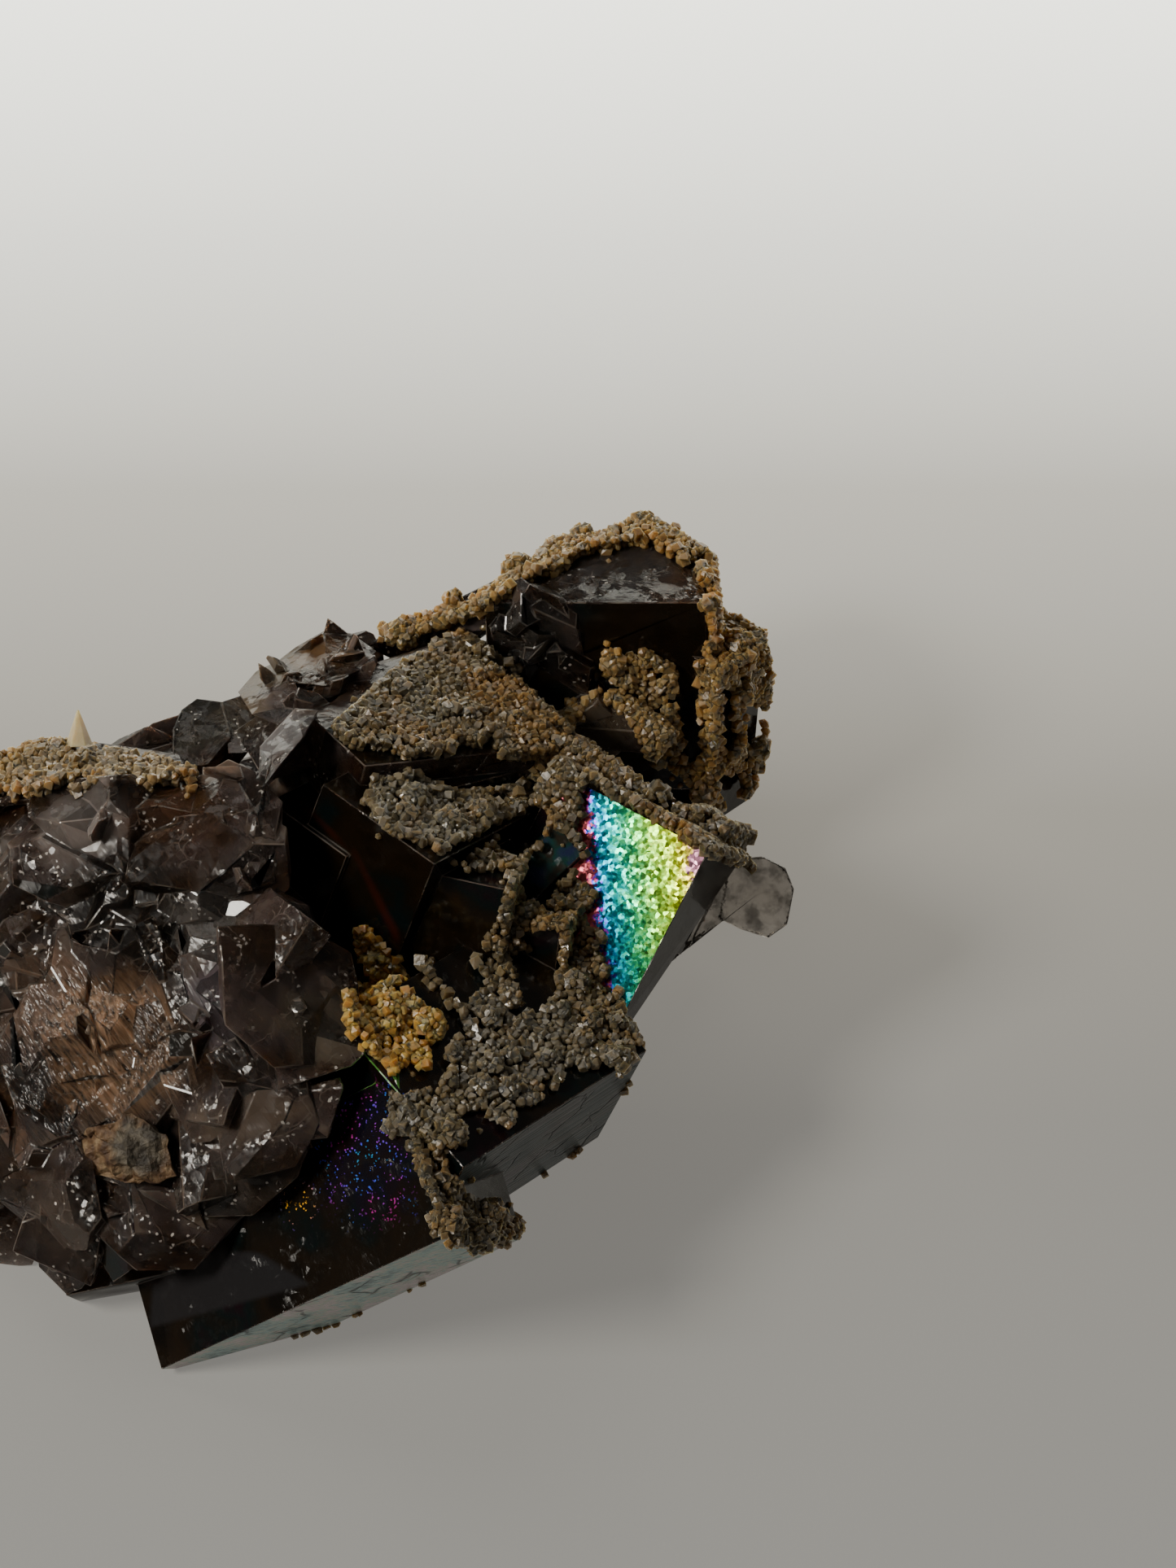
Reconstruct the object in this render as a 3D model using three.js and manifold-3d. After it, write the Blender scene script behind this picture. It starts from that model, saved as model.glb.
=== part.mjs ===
// A hand-sized cluster of smoky fluorite cubes with a sugary calcite crust, broken off its vein on the left.
// Units are millimetres and +Z is up. The cluster is described in a tilted "face frame", as it is seen from its
// best side: u runs right, v runs up the face and w comes out of it, towards the viewer. The whole group is then
// leant back onto its broken underside, which one level cleavage break lets it rest on.

import * as THREE from "three";
import { ConvexGeometry } from "three/addons/geometries/ConvexGeometry.js";
import { mergeVertices } from "three/addons/utils/BufferGeometryUtils.js";
import Module from "manifold-3d";

const wasm = await Module();
wasm.setup();

// Driving dimensions
const VIEW_ELEVATION = 55; // degrees above the resting surface from which the best side is seen
const BASE_HEIGHT = -23; // level of the broken underside, before the origin is moved down to it
const GAP = 0.3; // clearance between pieces that touch
const SIMPLIFIED = 0.1; // how far a crust's surface may move when its smallest faces are merged
const SKIN = 0.45; // thickness of the crust's continuous layer
const LUMP = 1.5; // mean radius of the crust's lumps
const LUMP_RISE = 0.35; // height of the lumps' middles over the crystals that carry them
const PRISM_REACH = 60; // how far an outline is swept through the cluster, both ways

const FULL_TURN = 2 * Math.PI;
const radians = THREE.MathUtils.degToRad;

// The vertical and the horizontal towards the back, in the face frame
const LEAN = radians(VIEW_ELEVATION);
const UP = new THREE.Vector3(0, Math.cos(LEAN), Math.sin(LEAN));
const BACK = new THREE.Vector3(0, Math.sin(LEAN), -Math.cos(LEAN));

// A point of the face frame from its place over the resting plane: right, back and height.
function standing(right, back, height) {
  return new THREE.Vector3(right, 0, 0).addScaledVector(BACK, back).addScaledVector(UP, height + BASE_HEIGHT);
}

const WHOLE_NUMBERS = 2 ** 32; // how many a 32-bit number can be

// Repeatable random numbers between 0 and 1.
function randomSource(seed) {
  let state = seed;
  return () => {
    state = (state + 0x6d2b79f5) | 0;
    let t = Math.imul(state ^ (state >>> 15), 1 | state);
    t = (t + Math.imul(t ^ (t >>> 7), 61 | t)) ^ t;
    return ((t ^ (t >>> 14)) >>> 0) / WHOLE_NUMBERS;
  };
}

// Directions of a cube's edges. Each edge leaves the corner nearest the viewer at a turn in the face plane,
// counter-clockwise from u, and falls away from the viewer by an angle. The third edge follows from the first two.
const LIE = {
  main: [145, 20, 27, 51],
  crown: [141, 35, 14, 40],
  right: [31, 34, 132, 16],
  foot: [207, 30.7, 107.3, 15.9],
  toe: [193, 8, 101, 14],
  flash: [151.7, 22, 242.9, 3],
  nook: [168, 10, 262, 25],
  plate: [133, 8, 227, 6],
  rear: [180, 4, 272, 27],
  flank: [150, 30, 266, 37],
};

function edgeDirection(turn, fall) {
  const t = radians(turn);
  const f = radians(fall);
  return new THREE.Vector3(Math.cos(f) * Math.cos(t), Math.cos(f) * Math.sin(t), -Math.sin(f));
}

function edgesOf([turnA, fallA, turnB, fallB]) {
  const a = edgeDirection(turnA, fallA);
  const b = edgeDirection(turnB, fallB);
  b.addScaledVector(a, -a.dot(b)).normalize();
  const c = new THREE.Vector3().crossVectors(a, b);
  if (c.z > 0) c.negate();
  return [a, b, c];
}

// Turns a closed three.js geometry into a manifold-3d solid.
function solid(geometry) {
  const bare = geometry.index ? geometry.toNonIndexed() : geometry.clone();
  for (const name of Object.keys(bare.attributes)) if (name !== "position") bare.deleteAttribute(name);
  const merged = mergeVertices(bare, 1e-4);
  return new wasm.Manifold(
    new wasm.Mesh({
      numProp: 3,
      vertProperties: merged.attributes.position.array,
      triVerts: new Uint32Array(merged.index.array),
    }),
  );
}

// A block with its viewer-side corner at a point, its edges along a lie, and its faces moved out by grow.
function block({ lie, corner, size }, grow = 0) {
  const [a, b, c] = edgesOf(LIE[lie]);
  const start = new THREE.Vector3(...corner);
  for (const edge of [a, b, c]) start.addScaledVector(edge, -grow);
  const [la, lb, lc] = size.map((length) => length + 2 * grow);
  const points = [];
  for (const i of [0, la])
    for (const j of [0, lb])
      for (const k of [0, lc])
        points.push(start.clone().addScaledVector(a, i).addScaledVector(b, j).addScaledVector(c, k));
  return solid(new ConvexGeometry(points));
}

// The convex body around some points, whose faces move out by at least grow.
function hull(points, grow = 0) {
  const corners = points.map((point) => (point.isVector3 ? point.clone() : new THREE.Vector3(...point)));
  if (grow === 0) return solid(new ConvexGeometry(corners));
  const reach = grow * Math.sqrt(3);
  const grown = [];
  for (const corner of corners)
    for (const axis of ["x", "y", "z"])
      for (const side of [-reach, reach]) {
        const point = corner.clone();
        point[axis] += side;
        grown.push(point);
      }
  return solid(new ConvexGeometry(grown));
}

// A broken chunk: the points of its front, and a smaller back some depth behind them.
function chunk({ front, depth, taper = 0.75 }, grow = 0) {
  const ridge = front.map((point) => new THREE.Vector3(...point));
  const middle = ridge.reduce((sum, point) => sum.add(point), new THREE.Vector3()).divideScalar(ridge.length);
  const back = ridge.map((point) => {
    const shrunk = middle.clone().lerp(point, taper);
    shrunk.z = middle.z - depth;
    return shrunk;
  });
  return hull([...ridge, ...back], grow);
}

// A rough piece of the hidden underside: a convex body around random points on a squashed ball.
const ROUGH_CORNERS = 13;
const ROUGH_STRETCH = [0.82, 1.12]; // least and greatest reach of a corner, as a share of the ball's radius
function rubble({ at, radii, seed }, grow = 0) {
  const random = randomSource(seed);
  const centre = standing(...at);
  const points = [];
  for (let i = 0; i < ROUGH_CORNERS; i++) {
    const height = 2 * random() - 1;
    const turn = FULL_TURN * random();
    const ring = Math.sqrt(1 - height * height);
    const stretch = THREE.MathUtils.lerp(...ROUGH_STRETCH, random());
    points.push(
      centre
        .clone()
        .add(new THREE.Vector3(radii[0] * ring * Math.cos(turn) * stretch, 0, 0))
        .addScaledVector(BACK, radii[1] * ring * Math.sin(turn) * stretch)
        .addScaledVector(UP, radii[2] * height * stretch),
    );
  }
  return hull(points, grow);
}

// The intergrown cubes of the front group: parallel steps share a lie.
const CUBES = [
  { lie: "main", corner: [6.2, 6.4, 8], size: [12.8, 15, 16] },
  { lie: "main", corner: [-1.6, 7, 3.4], size: [9, 8, 12] },
  { lie: "crown", corner: [7.2, 12.9, -1.6], size: [7, 8, 6] },
  { lie: "nook", corner: [12.2, 4.2, 6], size: [9, 10, 10] },
  { lie: "nook", corner: [17.1, 0.8, 3.4], size: [6, 9, 10] },
  { lie: "plate", corner: [19, 7.2, -0.4], size: [3.4, 6, 8] },
  { lie: "right", corner: [8.9, -19.3, 16], size: [22.1, 17, 15] },
  { lie: "foot", corner: [7.2, -25.2, 17], size: [32.9, 15, 11.5] },
  { lie: "toe", corner: [-16, -29.3, 0.5], size: [10.8, 10, 12] },
];

// The crown's top, its pale broken edge on the left, and how far its sides go down
const CROWN_TOP = [
  [0, 14.9, 2.8], [-3.6, 18.1, -1], [5.9, 26, -17], [8, 27, -20], [13.6, 22.5, -15.5], [17.9, 16.8, -8.5],
  [11.4, 17.9, -7.3], [-7.5, 21, -8], [-5.4, 22.3, -11], [2.9, 24.9, -18],
];
const CROWN_DEPTH = 10;

// The iridescent cube's face, clockwise from its right corner, and its narrow far side
const FLASH = [
  [30, 7.5, 2.6], [16.9, 14.5, -3.4], [8.9, -1.2, -4.3], [22, -8.1, 1.7], [32.9, 6.5, -4.8],
  [19.7, 13.5, -10.8], [11.7, -2.2, -11.7], [22.7, -8.4, -0.4],
];
// The step behind the iridescent face's upper edge, which carries the band of crust
const FLASH_STEP = { lie: "flash", corner: [31.4, 9.4, -1.4], size: [17, 12, 5] };

// The cleaved mass on the left, chunk by chunk from the top
const CLEAVED = [
  { front: [[-29.5, 13, -1], [-21.5, 13.5, 1], [-22, 10.5, 4.5], [-22.5, 8.5, 4], [-25, 6.5, 3],
    [-26.5, 10, 4.5], [-29.5, 10.5, 2.5]], depth: 12 },
  { front: [[-20.8, 13.5, 0], [-14.8, 13.5, 1.5], [-13.5, 10.5, 5], [-15, 8.5, 4.5], [-18, 7.8, 3],
    [-21, 8.2, 3], [-21, 11, 3.5], [-18, 11.5, 5]], depth: 12 },
  { front: [[-24.5, 5.5, 2.5], [-18, 7.8, 1], [-14.3, 7.5, 3], [-15.5, 1.5, 6.5], [-18, -3, 7],
    [-20.5, -1.5, 4.5], [-23, -2.5, 4], [-26, 1.5, 2]], depth: 12 },
  { front: [[-15.5, 13.5, 1], [-12, 15.5, 1.5], [-8.5, 14, 4.5], [-9.2, 10.5, 6.5], [-9.4, 8.5, 7],
    [-7.6, 4.8, 7.5], [-10.5, 4, 8], [-13, 2, 7], [-15.5, 1, 5], [-14, 8, 5.5]], depth: 14 },
  { front: [[-9.3, 16.6, 1], [-6.3, 20, -1], [-4.2, 19.8, 0], [-5.4, 17.4, 3], [-7.6, 14.6, 5],
    [-9.2, 12.5, 5]], depth: 12 },
  { front: [[-10.5, 3.8, 6], [-7.8, 4, 7.5], [-7, -2, 11], [-7.5, -8, 12.5], [-9, -12.5, 12],
    [-13, -12, 10], [-15.8, -10.5, 8], [-16, -6.5, 7], [-15, -3, 6.5], [-13, 0.7, 6]], depth: 18 },
  { front: [[-7.8, -2, 10.5], [-6, -3.5, 12], [-2.5, -3.5, 11], [-1.5, -5.5, 12], [0.6, -9.5, 13],
    [-0.7, -10.8, 13.3], [-7, -12.8, 13], [-8, -7, 12.8]], depth: 18 },
  { front: [[-7.5, 4.2, 6.5], [-6.8, 3.4, 9], [-4.6, 2.8, 8.8], [-3.8, 0.4, 9], [-4.2, -0.4, 10.5],
    [-6.8, -0.6, 11.2], [-7.4, 1.5, 10.5]], depth: 12 },
  { front: [[-8, -0.6, 10], [-7, -0.5, 11.5], [-4, -0.4, 10.3], [-2.3, -2.4, 10.2], [-3, -5, 12.4],
    [-6.5, -5, 13.2]], depth: 14 },
  { front: [[-13, -15, 8.5], [-7.4, -13.2, 12], [-7.3, -16, 12], [-9.8, -18.4, 10.5], [-13.5, -20, 8],
    [-15, -20.5, 7], [-14.5, -17, 7.5]], depth: 16 },
  { front: [[-7.6, -13.4, 12], [-1.8, -11.8, 12.5], [-1.4, -12.6, 13], [-2.8, -17, 12.2],
    [-5.6, -17.4, 11.5], [-7.6, -15.8, 11.5]], depth: 16 },
  { front: [[-12.5, -21, 7.5], [-10, -18.8, 9.5], [-4.5, -18, 10.8], [-5.5, -20.5, 10], [-9.5, -24, 7.8],
    [-14, -24.3, 5.5]], depth: 14 },
  { front: [[-25, -12.8, 4], [-22.5, -8.8, 5], [-17, -5.8, 5.5], [-16, -9.2, 7.5], [-17.8, -12.8, 7.5],
    [-21.4, -16.2, 6], [-24.2, -17, 4.5], [-26, -14.2, 3]], depth: 14 },
  { front: [[-32, 4.5, -1], [-27, 5.5, 1.5], [-25.5, 1, 3.5], [-27, -3, 4.5], [-31, -3, 3], [-34, 1, 0]],
    depth: 14 },
  { front: [[-32, -4, 1], [-27, -4.5, 4], [-23, -7, 5], [-25, -12, 5], [-30, -14, 3], [-34, -9, 0]],
    depth: 14 },
  { front: [[-26, -3, 3.5], [-20.5, -3.3, 5], [-17.5, -5.3, 6], [-21, -8, 5.5], [-25, -7, 5]], depth: 12 },
  { front: [[-32, -16.5, 1], [-28, -17, 3], [-26.7, -21, 3], [-29, -23.5, 1], [-33, -23, -1]], depth: 10 },
  { front: [[-28.7, -21, 1.5], [-25, -20, 3.5], [-22.9, -25, 3.5], [-23.6, -29.2, 2], [-25, -31, 0],
    [-26.4, -31.6, -1], [-28.9, -29.2, -1.5], [-28.8, -25, 1]], depth: 10 },
  { front: [[-24.5, -20.5, 4], [-19, -22, 6], [-15, -22, 6.5], [-13.5, -25.5, 5.5], [-17, -28, 3],
    [-20.5, -27, 3.5], [-22.5, -24.5, 3.5]], depth: 12 },
  { front: [[-36, -24, -5], [-30, -24, -4], [-28.8, -27, -5], [-30, -29.5, -7], [-34, -30, -8],
    [-38, -28, -9]], depth: 8 },
  { front: [[-33, 15, -6], [-39, 13, -8], [-44, 8, -10], [-46, 0, -11], [-44, -9, -9], [-39, -12, -3],
    [-33, -8, 1], [-33, 4, 0], [-37, 6, -2]], depth: 12 },
  { front: [[-33, -12, 1], [-39, -10, -4], [-44, -14, -9], [-42, -22, -10], [-37, -27, -8], [-32, -24, -2],
    [-31, -17, 2]], depth: 10 },
  { front: [[-38, 13, -6], [-30, 16, -7], [-24, 17, -8], [-17, 16, -7], [-14.5, 14, -4], [-15, 13, 0],
    [-21.5, 13.3, 0], [-30, 12.8, -2], [-36, 11, -3]], depth: 12 },
];

// The dark knobs and clear lumps that show over the mass, further back
const KNOBS = [
  { front: [[-17.7, 18.2, -10], [-17, 20, -11], [-15.7, 21, -12], [-13.4, 20.7, -11], [-12.3, 17.5, -7],
    [-14.3, 15, -6], [-17.5, 14.6, -7]], depth: 12 },
  { front: [[-13.4, 20.7, -11], [-11.4, 21.4, -12], [-9.4, 19.3, -9], [-9.3, 16.4, -6], [-12.5, 16, -6]],
    depth: 12 },
  { front: [[-12, 21.6, -12], [-10.5, 23.5, -14], [-8.6, 24.4, -14], [-7, 23.5, -10], [-6, 20.5, -6],
    [-8, 18.5, -5], [-10.5, 19.5, -7]], depth: 12 },
  { front: [[-8.6, 24.4, -14], [-7, 25.7, -15], [-4.3, 27.3, -16], [-2, 27, -16], [0.4, 25.3, -14],
    [-1, 23.5, -10], [-4, 22, -7], [-7, 22.5, -9]], depth: 12 },
  { front: [[-12, 18, -8], [-8, 21, -9], [-4, 22.5, -10], [-2, 19, -6], [-3, 15.5, -4], [-9, 13.5, -3]],
    depth: 12 },
  { front: [[-22.5, 15.8, -14], [-19, 17.2, -16], [-17.5, 17.5, -15], [-17, 15, -10], [-21, 14.5, -10]],
    depth: 10 },
];

// The hidden underside: one main body, by its corners over the resting plane, and rough pieces around it
const UNDERSIDE = [
  [-42, -6, 0], [-36, -15, 0], [-16, -23, 0], [0, -19, 0], [12, -11, 0], [19, -2, 0], [23, 10, 0],
  [28, 24, 0], [30, 36, 0], [14, 36, 0], [6, 30, 0], [-6, 22, 0], [-20, 14, 0], [-38, 8, 0], [-38, -2, 14],
  [-30, -12, 10], [-16, -18, 8], [0, -12, 16], [12, -4, 16], [18, 6, 16], [22, 22, 13], [8, 26, 14],
  [-6, 14, 20], [-20, 8, 18], [-34, 6, 15],
];
const ROUGH = [
  { at: [-38, 6, 7], radii: [9, 8, 8], seed: 11 },
  { at: [-24, 16, 8], radii: [10, 7, 9], seed: 12 },
  { at: [-9, 22, 8], radii: [10, 8, 10], seed: 13 },
  { at: [4, 32, 8], radii: [8, 6, 9], seed: 14 },
  { at: [20, 36, 6], radii: [10, 7, 7], seed: 15 },
  { at: [-16, 20, 15], radii: [8, 6, 7], seed: 16 },
  { at: [-31, 13, 12], radii: [7, 6, 7], seed: 17 },
  { at: [24, 16, 6], radii: [5, 8, 7], seed: 18 },
  { at: [17, 0, 5], radii: [5, 7, 6], seed: 19 },
  { at: [-40, -8, 5], radii: [6, 7, 6], seed: 20 },
];

// The rear cube by its corners, its front first, with a broken top edge behind
const REAR_CUBE = [
  [30.1, 29.7, -14], [10.1, 29.7, -15.4], [10.7, 12.8, -24], [30.7, 12.8, -22.6], [12.2, 31.4, -20],
  [17.5, 36, -26], [24.3, 37.6, -27], [29.8, 35.3, -25], [31.5, 19.5, -36], [11.6, 19.6, -37],
];
const FLANK = { lie: "flank", corner: [31.3, 23.5, -15], size: [14, 18, 6.5] };
// The wedge that stands out of the rear cube's front, and the crusted ridge that leads to the crown
const REAR_CHUNKS = [
  { front: [[17, 18.6, -18], [21.1, 21.4, -17], [26.4, 17.9, -16], [25, 16.1, -17.5], [18, 16.6, -19]],
    depth: 6 },
  { front: [[-1, 26, -21], [4, 28.6, -22], [9, 30.5, -21], [13, 33, -21], [14.5, 31, -18], [11, 27.5, -19],
    [8, 25.5, -21.5], [3, 24, -21]], depth: 10 },
];

// The grey glassy plate at the right: its rounded end, and the strip along the iridescent cube
const BLADE = [
  { front: [[32, 6.6, -6], [35, 6.9, -6.5], [37, 5.9, -6.5], [37.8, 4, -6.5], [37.2, 0.8, -6.8],
    [35.5, -0.4, -7], [33, 0.4, -6.5], [31, 1.4, -6], [34.5, 3.6, -5.2]], depth: 3.4, taper: 0.9 },
  { front: [[32, 6.6, -6], [34.5, 3.6, -5.2], [31, 1.4, -6], [26.5, -2, -6.5], [25, -4, -7], [27, 2, -6]],
    depth: 3.4, taper: 0.9 },
];

// Outlines of the crust's patches in the face plane, and the windows where dark cubes show through. A patch ends
// where the surface turns away, at its own level along this direction.
const OUTWARD = new THREE.Vector3(0, 0.56, 1).normalize();
const LEVEL = { front: -10.5, stained: -8, rear: -17, ledge: -5 };
const FRONT_PATCH = [
  [-3, 18.5], [0, 21.5], [3, 24.5], [6.5, 26], [6.5, 27], [8, 27.5], [11.5, 25], [15, 21], [19.5, 17],
  [25, 13], [28, 11.5], [34, 10.5], [35, 8], [34, 6], [30.5, 7.5], [25, 10.5], [19.5, 14], [18.5, 12.5],
  [19.5, 10.5], [18.5, 8.5], [20, 6.5], [18.5, 5], [20, 3.5], [19.5, 1.5], [21, 0], [21, -2.5], [22, -4.5],
  [23, -7.5], [24.5, -9], [24, -10.5], [21, -11], [18, -11.5], [15.5, -13.5], [13.5, -15], [12.5, -16],
  [10, -14], [8, -17], [6.5, -15.5], [6, -16], [7, -18], [8, -21], [12, -23.5], [14, -24.5], [13.5, -26],
  [9.5, -26], [8, -26], [6.5, -22.5], [4.5, -18.5], [2.5, -15], [2.5, -13], [5.5, -12.5], [6.5, -11],
  [6, -9], [7.5, -7.5], [4, -5.5], [3, -3], [5, -2], [7.5, -4.5], [10, -5], [10.5, -3.5], [9.5, -2],
  [11, 0.5], [13, 4.5], [12.5, 6], [8.5, 6.5], [11, 8], [13.5, 7], [15.5, 8.5], [16, 10.5], [15, 12],
  [10.5, 9.5], [6.5, 7.5], [2, 9.5], [0, 12], [0.5, 13.5], [4, 14.5], [7, 13], [11.5, 13], [14.5, 13.5],
  [15, 15.5], [12.5, 15.5], [11, 18], [8, 16.5], [3.5, 16], [-2, 17.5],
];
const WINDOWS = [
  [[16.5, 9.5], [19, 7], [17.5, 5], [16, 3], [14, 3], [13.5, 4.5], [15.5, 8]],
  [[14, 0.5], [17.5, 1], [17, -3.5], [15, -7], [14, -6], [12.5, -2], [13, -0.5]],
];
const STAINED_PATCH = [
  [0, 1], [1.5, -1], [3.5, -3.5], [7, -7.5], [6, -9], [6, -11], [4, -11.5], [1, -9.5], [-1, -6.5],
  [-1.5, -4.5], [0.5, -4], [-1, -1], [-1, 0.5],
];
const REAR_PATCH = [
  [0.5, 27.5], [3, 28.5], [9.5, 31], [14, 33.5], [16, 36], [20.5, 36.5], [24.5, 38.5], [28, 36.5],
  [32.5, 33.5], [35, 29], [36.5, 23], [37.5, 20.5], [36, 15.5], [36, 10], [31, 10.5], [27.5, 14.5],
  [22, 17], [17, 18], [16.5, 19.5], [20.5, 22], [22, 25.5], [24.5, 25.5], [26.5, 24], [28.5, 22],
  [30.5, 26], [30, 33.5], [25, 36], [19.5, 35], [14, 32], [9.5, 29], [3, 26.5],
];
const LEDGE_PATCH = [
  [-37, 12.5], [-34, 16], [-30.5, 17.5], [-25.5, 17], [-19, 16], [-15, 14.5], [-19, 13.3], [-24.5, 13.3],
  [-29.5, 12.8],
];
const MATRIX_PATCH = { front: [[-25, -16.5, 4.5], [-20, -15.2, 7], [-16.8, -16.8, 8], [-16.2, -20.5, 7.5],
  [-20, -21.8, 6], [-24.5, -20.5, 4.5], [-20.5, -18.5, 8.5]], depth: 4 };

// The pointed calcite crystal that stands on the ledge
const SPIKE = { foot: [-25.7, 16.6, -6], tip: [-25.9, 20.2, -6.6], radius: 1.3, sides: 6 };

function union(pieces) {
  return wasm.Manifold.union(pieces);
}

function crown(grow) {
  const down = edgesOf(LIE.crown)[2].multiplyScalar(CROWN_DEPTH);
  const top = CROWN_TOP.map((point) => new THREE.Vector3(...point));
  return hull([...top, ...top.map((point) => point.clone().add(down))], grow);
}

// Everything of the front group, which has grown together into one body
function frontGroup(grow) {
  return union([
    ...CUBES.map((cube) => block(cube, grow)),
    crown(grow),
    hull(FLASH, grow),
    block(FLASH_STEP, grow),
    ...CLEAVED.map((piece) => chunk(piece, grow)),
    ...KNOBS.map((piece) => chunk(piece, grow)),
    hull(UNDERSIDE.map((place) => standing(...place)), grow),
    ...ROUGH.map((piece) => rubble(piece, grow)),
  ]);
}

function rearGroup(grow) {
  return union([hull(REAR_CUBE, grow), block(FLANK, grow), ...REAR_CHUNKS.map((piece) => chunk(piece, grow))]);
}

// Cuts off what lies under the resting plane.
function levelled(shape) {
  return shape.trimByPlane(UP.toArray(), BASE_HEIGHT);
}

// The biggest connected body of a shape.
function biggestBody(shape) {
  return shape.decompose().reduce((best, body) => (body.volume() > best.volume() ? body : best));
}

// An outline of the face plane swept through the whole cluster
function prism(outline, back = -PRISM_REACH, front = PRISM_REACH) {
  const shape = new THREE.Shape(outline.map(([u, v]) => new THREE.Vector2(u, v)));
  const geometry = new THREE.ExtrudeGeometry(shape, { depth: front - back, bevelEnabled: false });
  return solid(geometry.translate(0, 0, back));
}

// An outline with each corner moved outwards, square to the line between its neighbours
function widened(outline, reach) {
  const turned = THREE.ShapeUtils.area(outline.map(([u, v]) => new THREE.Vector2(u, v))) > 0 ? 1 : -1;
  return outline.map(([u, v], i) => {
    const [u0, v0] = outline.at(i - 1);
    const [u1, v1] = outline[(i + 1) % outline.length];
    const out = new THREE.Vector2(v1 - v0, u0 - u1).setLength(reach * turned);
    return [u + out.x, v + out.y];
  });
}

const SCATTER = 0.8; // how far a spread point may be shifted, as a share of the spacing

// Points spread over an outline at about one spacing, each shifted a little at random
function scatter(outline, spacing, random) {
  const us = outline.map(([u]) => u);
  const vs = outline.map(([, v]) => v);
  const points = [];
  for (let u = Math.min(...us); u < Math.max(...us); u += spacing)
    for (let v = Math.min(...vs); v < Math.max(...vs); v += spacing) {
      const place = [u, v].map((value) => value + spacing * SCATTER * (random() - 0.5));
      if (isInside(place, outline)) points.push(place);
    }
  return points;
}

function isInside([u, v], outline) {
  let inside = false;
  for (let i = 0, j = outline.length - 1; i < outline.length; j = i++) {
    const [ui, vi] = outline[i];
    const [uj, vj] = outline[j];
    if (vi > v !== vj > v && u < ((uj - ui) * (v - vi)) / (vj - vi) + ui) inside = !inside;
  }
  return inside;
}

const LUMP_SPACING = 3.2;
const LUMP_RANGE = [0.75, 1.25]; // least and greatest radius of a lump, as a share of the mean
const LOOK = new THREE.Vector3(0, 0, -1);

// Low lumps of grown-together grains on the surface that carries a patch of crust
function lumpsOn(carrier, outline, seed) {
  const random = randomSource(seed);
  const ray = new THREE.Raycaster();
  const lumps = [];
  for (const [u, v] of scatter(outline, LUMP_SPACING, random)) {
    ray.set(new THREE.Vector3(u, v, PRISM_REACH), LOOK);
    const hit = ray.intersectObject(carrier)[0];
    if (!hit) continue;
    const radius = LUMP * THREE.MathUtils.lerp(...LUMP_RANGE, random());
    const lump = new THREE.IcosahedronGeometry(radius, 0);
    lump.rotateX(FULL_TURN * random());
    lump.rotateY(FULL_TURN * random());
    const middle = hit.point.addScaledVector(hit.face.normal, LUMP_RISE);
    lump.translate(middle.x, middle.y, middle.z);
    lumps.push(solid(lump));
  }
  return lumps;
}

// A patch of crust: a thin layer over the carrying crystals inside an outline, with lumps on it
function crust({ carrier, grown, cleared, outline, level, seed }) {
  const layer = grown.intersect(prism(outline));
  const rough = union([layer, ...lumpsOn(carrier, outline, seed)]).subtract(cleared);
  return biggestBody(rough.trimByPlane(OUTWARD.toArray(), level)).simplify(SIMPLIFIED);
}

function spike(grow) {
  const foot = new THREE.Vector3(...SPIKE.foot);
  const points = [new THREE.Vector3(...SPIKE.tip)];
  for (let i = 0; i < SPIKE.sides; i++) {
    const turn = (FULL_TURN * i) / SPIKE.sides;
    points.push(new THREE.Vector3(SPIKE.radius * Math.cos(turn), 0, SPIKE.radius * Math.sin(turn)).add(foot));
  }
  return hull(points, grow);
}

function blade(grow) {
  return union(BLADE.map((piece) => chunk(piece, grow)));
}

// Colour and roughness of each kind of surface
const FINISH = {
  smoky: { color: 0x2a2624, roughness: 0.2 },
  clear: { color: 0x8c8886, roughness: 0.2 },
  calcite: { color: 0xa89878, roughness: 0.6 },
  ochre: { color: 0xc08a2c, roughness: 0.6 },
  rock: { color: 0x8c7350, roughness: 0.85 },
};

function meshOf(name, shape, finish) {
  const { vertProperties, triVerts, numProp } = shape.getMesh();
  const positions = new Float32Array((vertProperties.length / numProp) * 3);
  for (let i = 0; i < positions.length / 3; i++)
    for (let k = 0; k < 3; k++) positions[i * 3 + k] = vertProperties[i * numProp + k];
  const geometry = new THREE.BufferGeometry();
  geometry.setAttribute("position", new THREE.BufferAttribute(positions, 3));
  geometry.setIndex(new THREE.BufferAttribute(new Uint32Array(triVerts), 1));
  const mesh = new THREE.Mesh(geometry, new THREE.MeshStandardMaterial({ ...finish, metalness: 0 }));
  mesh.name = name;
  return mesh;
}

const front = levelled(frontGroup(0));
const frontCleared = frontGroup(GAP);
const frontSkin = frontGroup(GAP + SKIN);
const rear = levelled(rearGroup(0).subtract(frontCleared));
const rearCleared = rearGroup(GAP);
const rearSkin = rearGroup(GAP + SKIN);
const fluoriteCleared = union([frontCleared, rearCleared]);
const sideBlade = biggestBody(blade(0).subtract(fluoriteCleared));
const bareOfCrust = union([fluoriteCleared, blade(GAP)]);
const windows = union(WINDOWS.map((outline) => prism(outline)));
const besideStain = prism(widened(STAINED_PATCH, LUMP));
const frontMesh = meshOf("fluorite_cluster", front, FINISH.smoky);
const rearMesh = meshOf("rear_fluorite", rear, FINISH.smoky);

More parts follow.
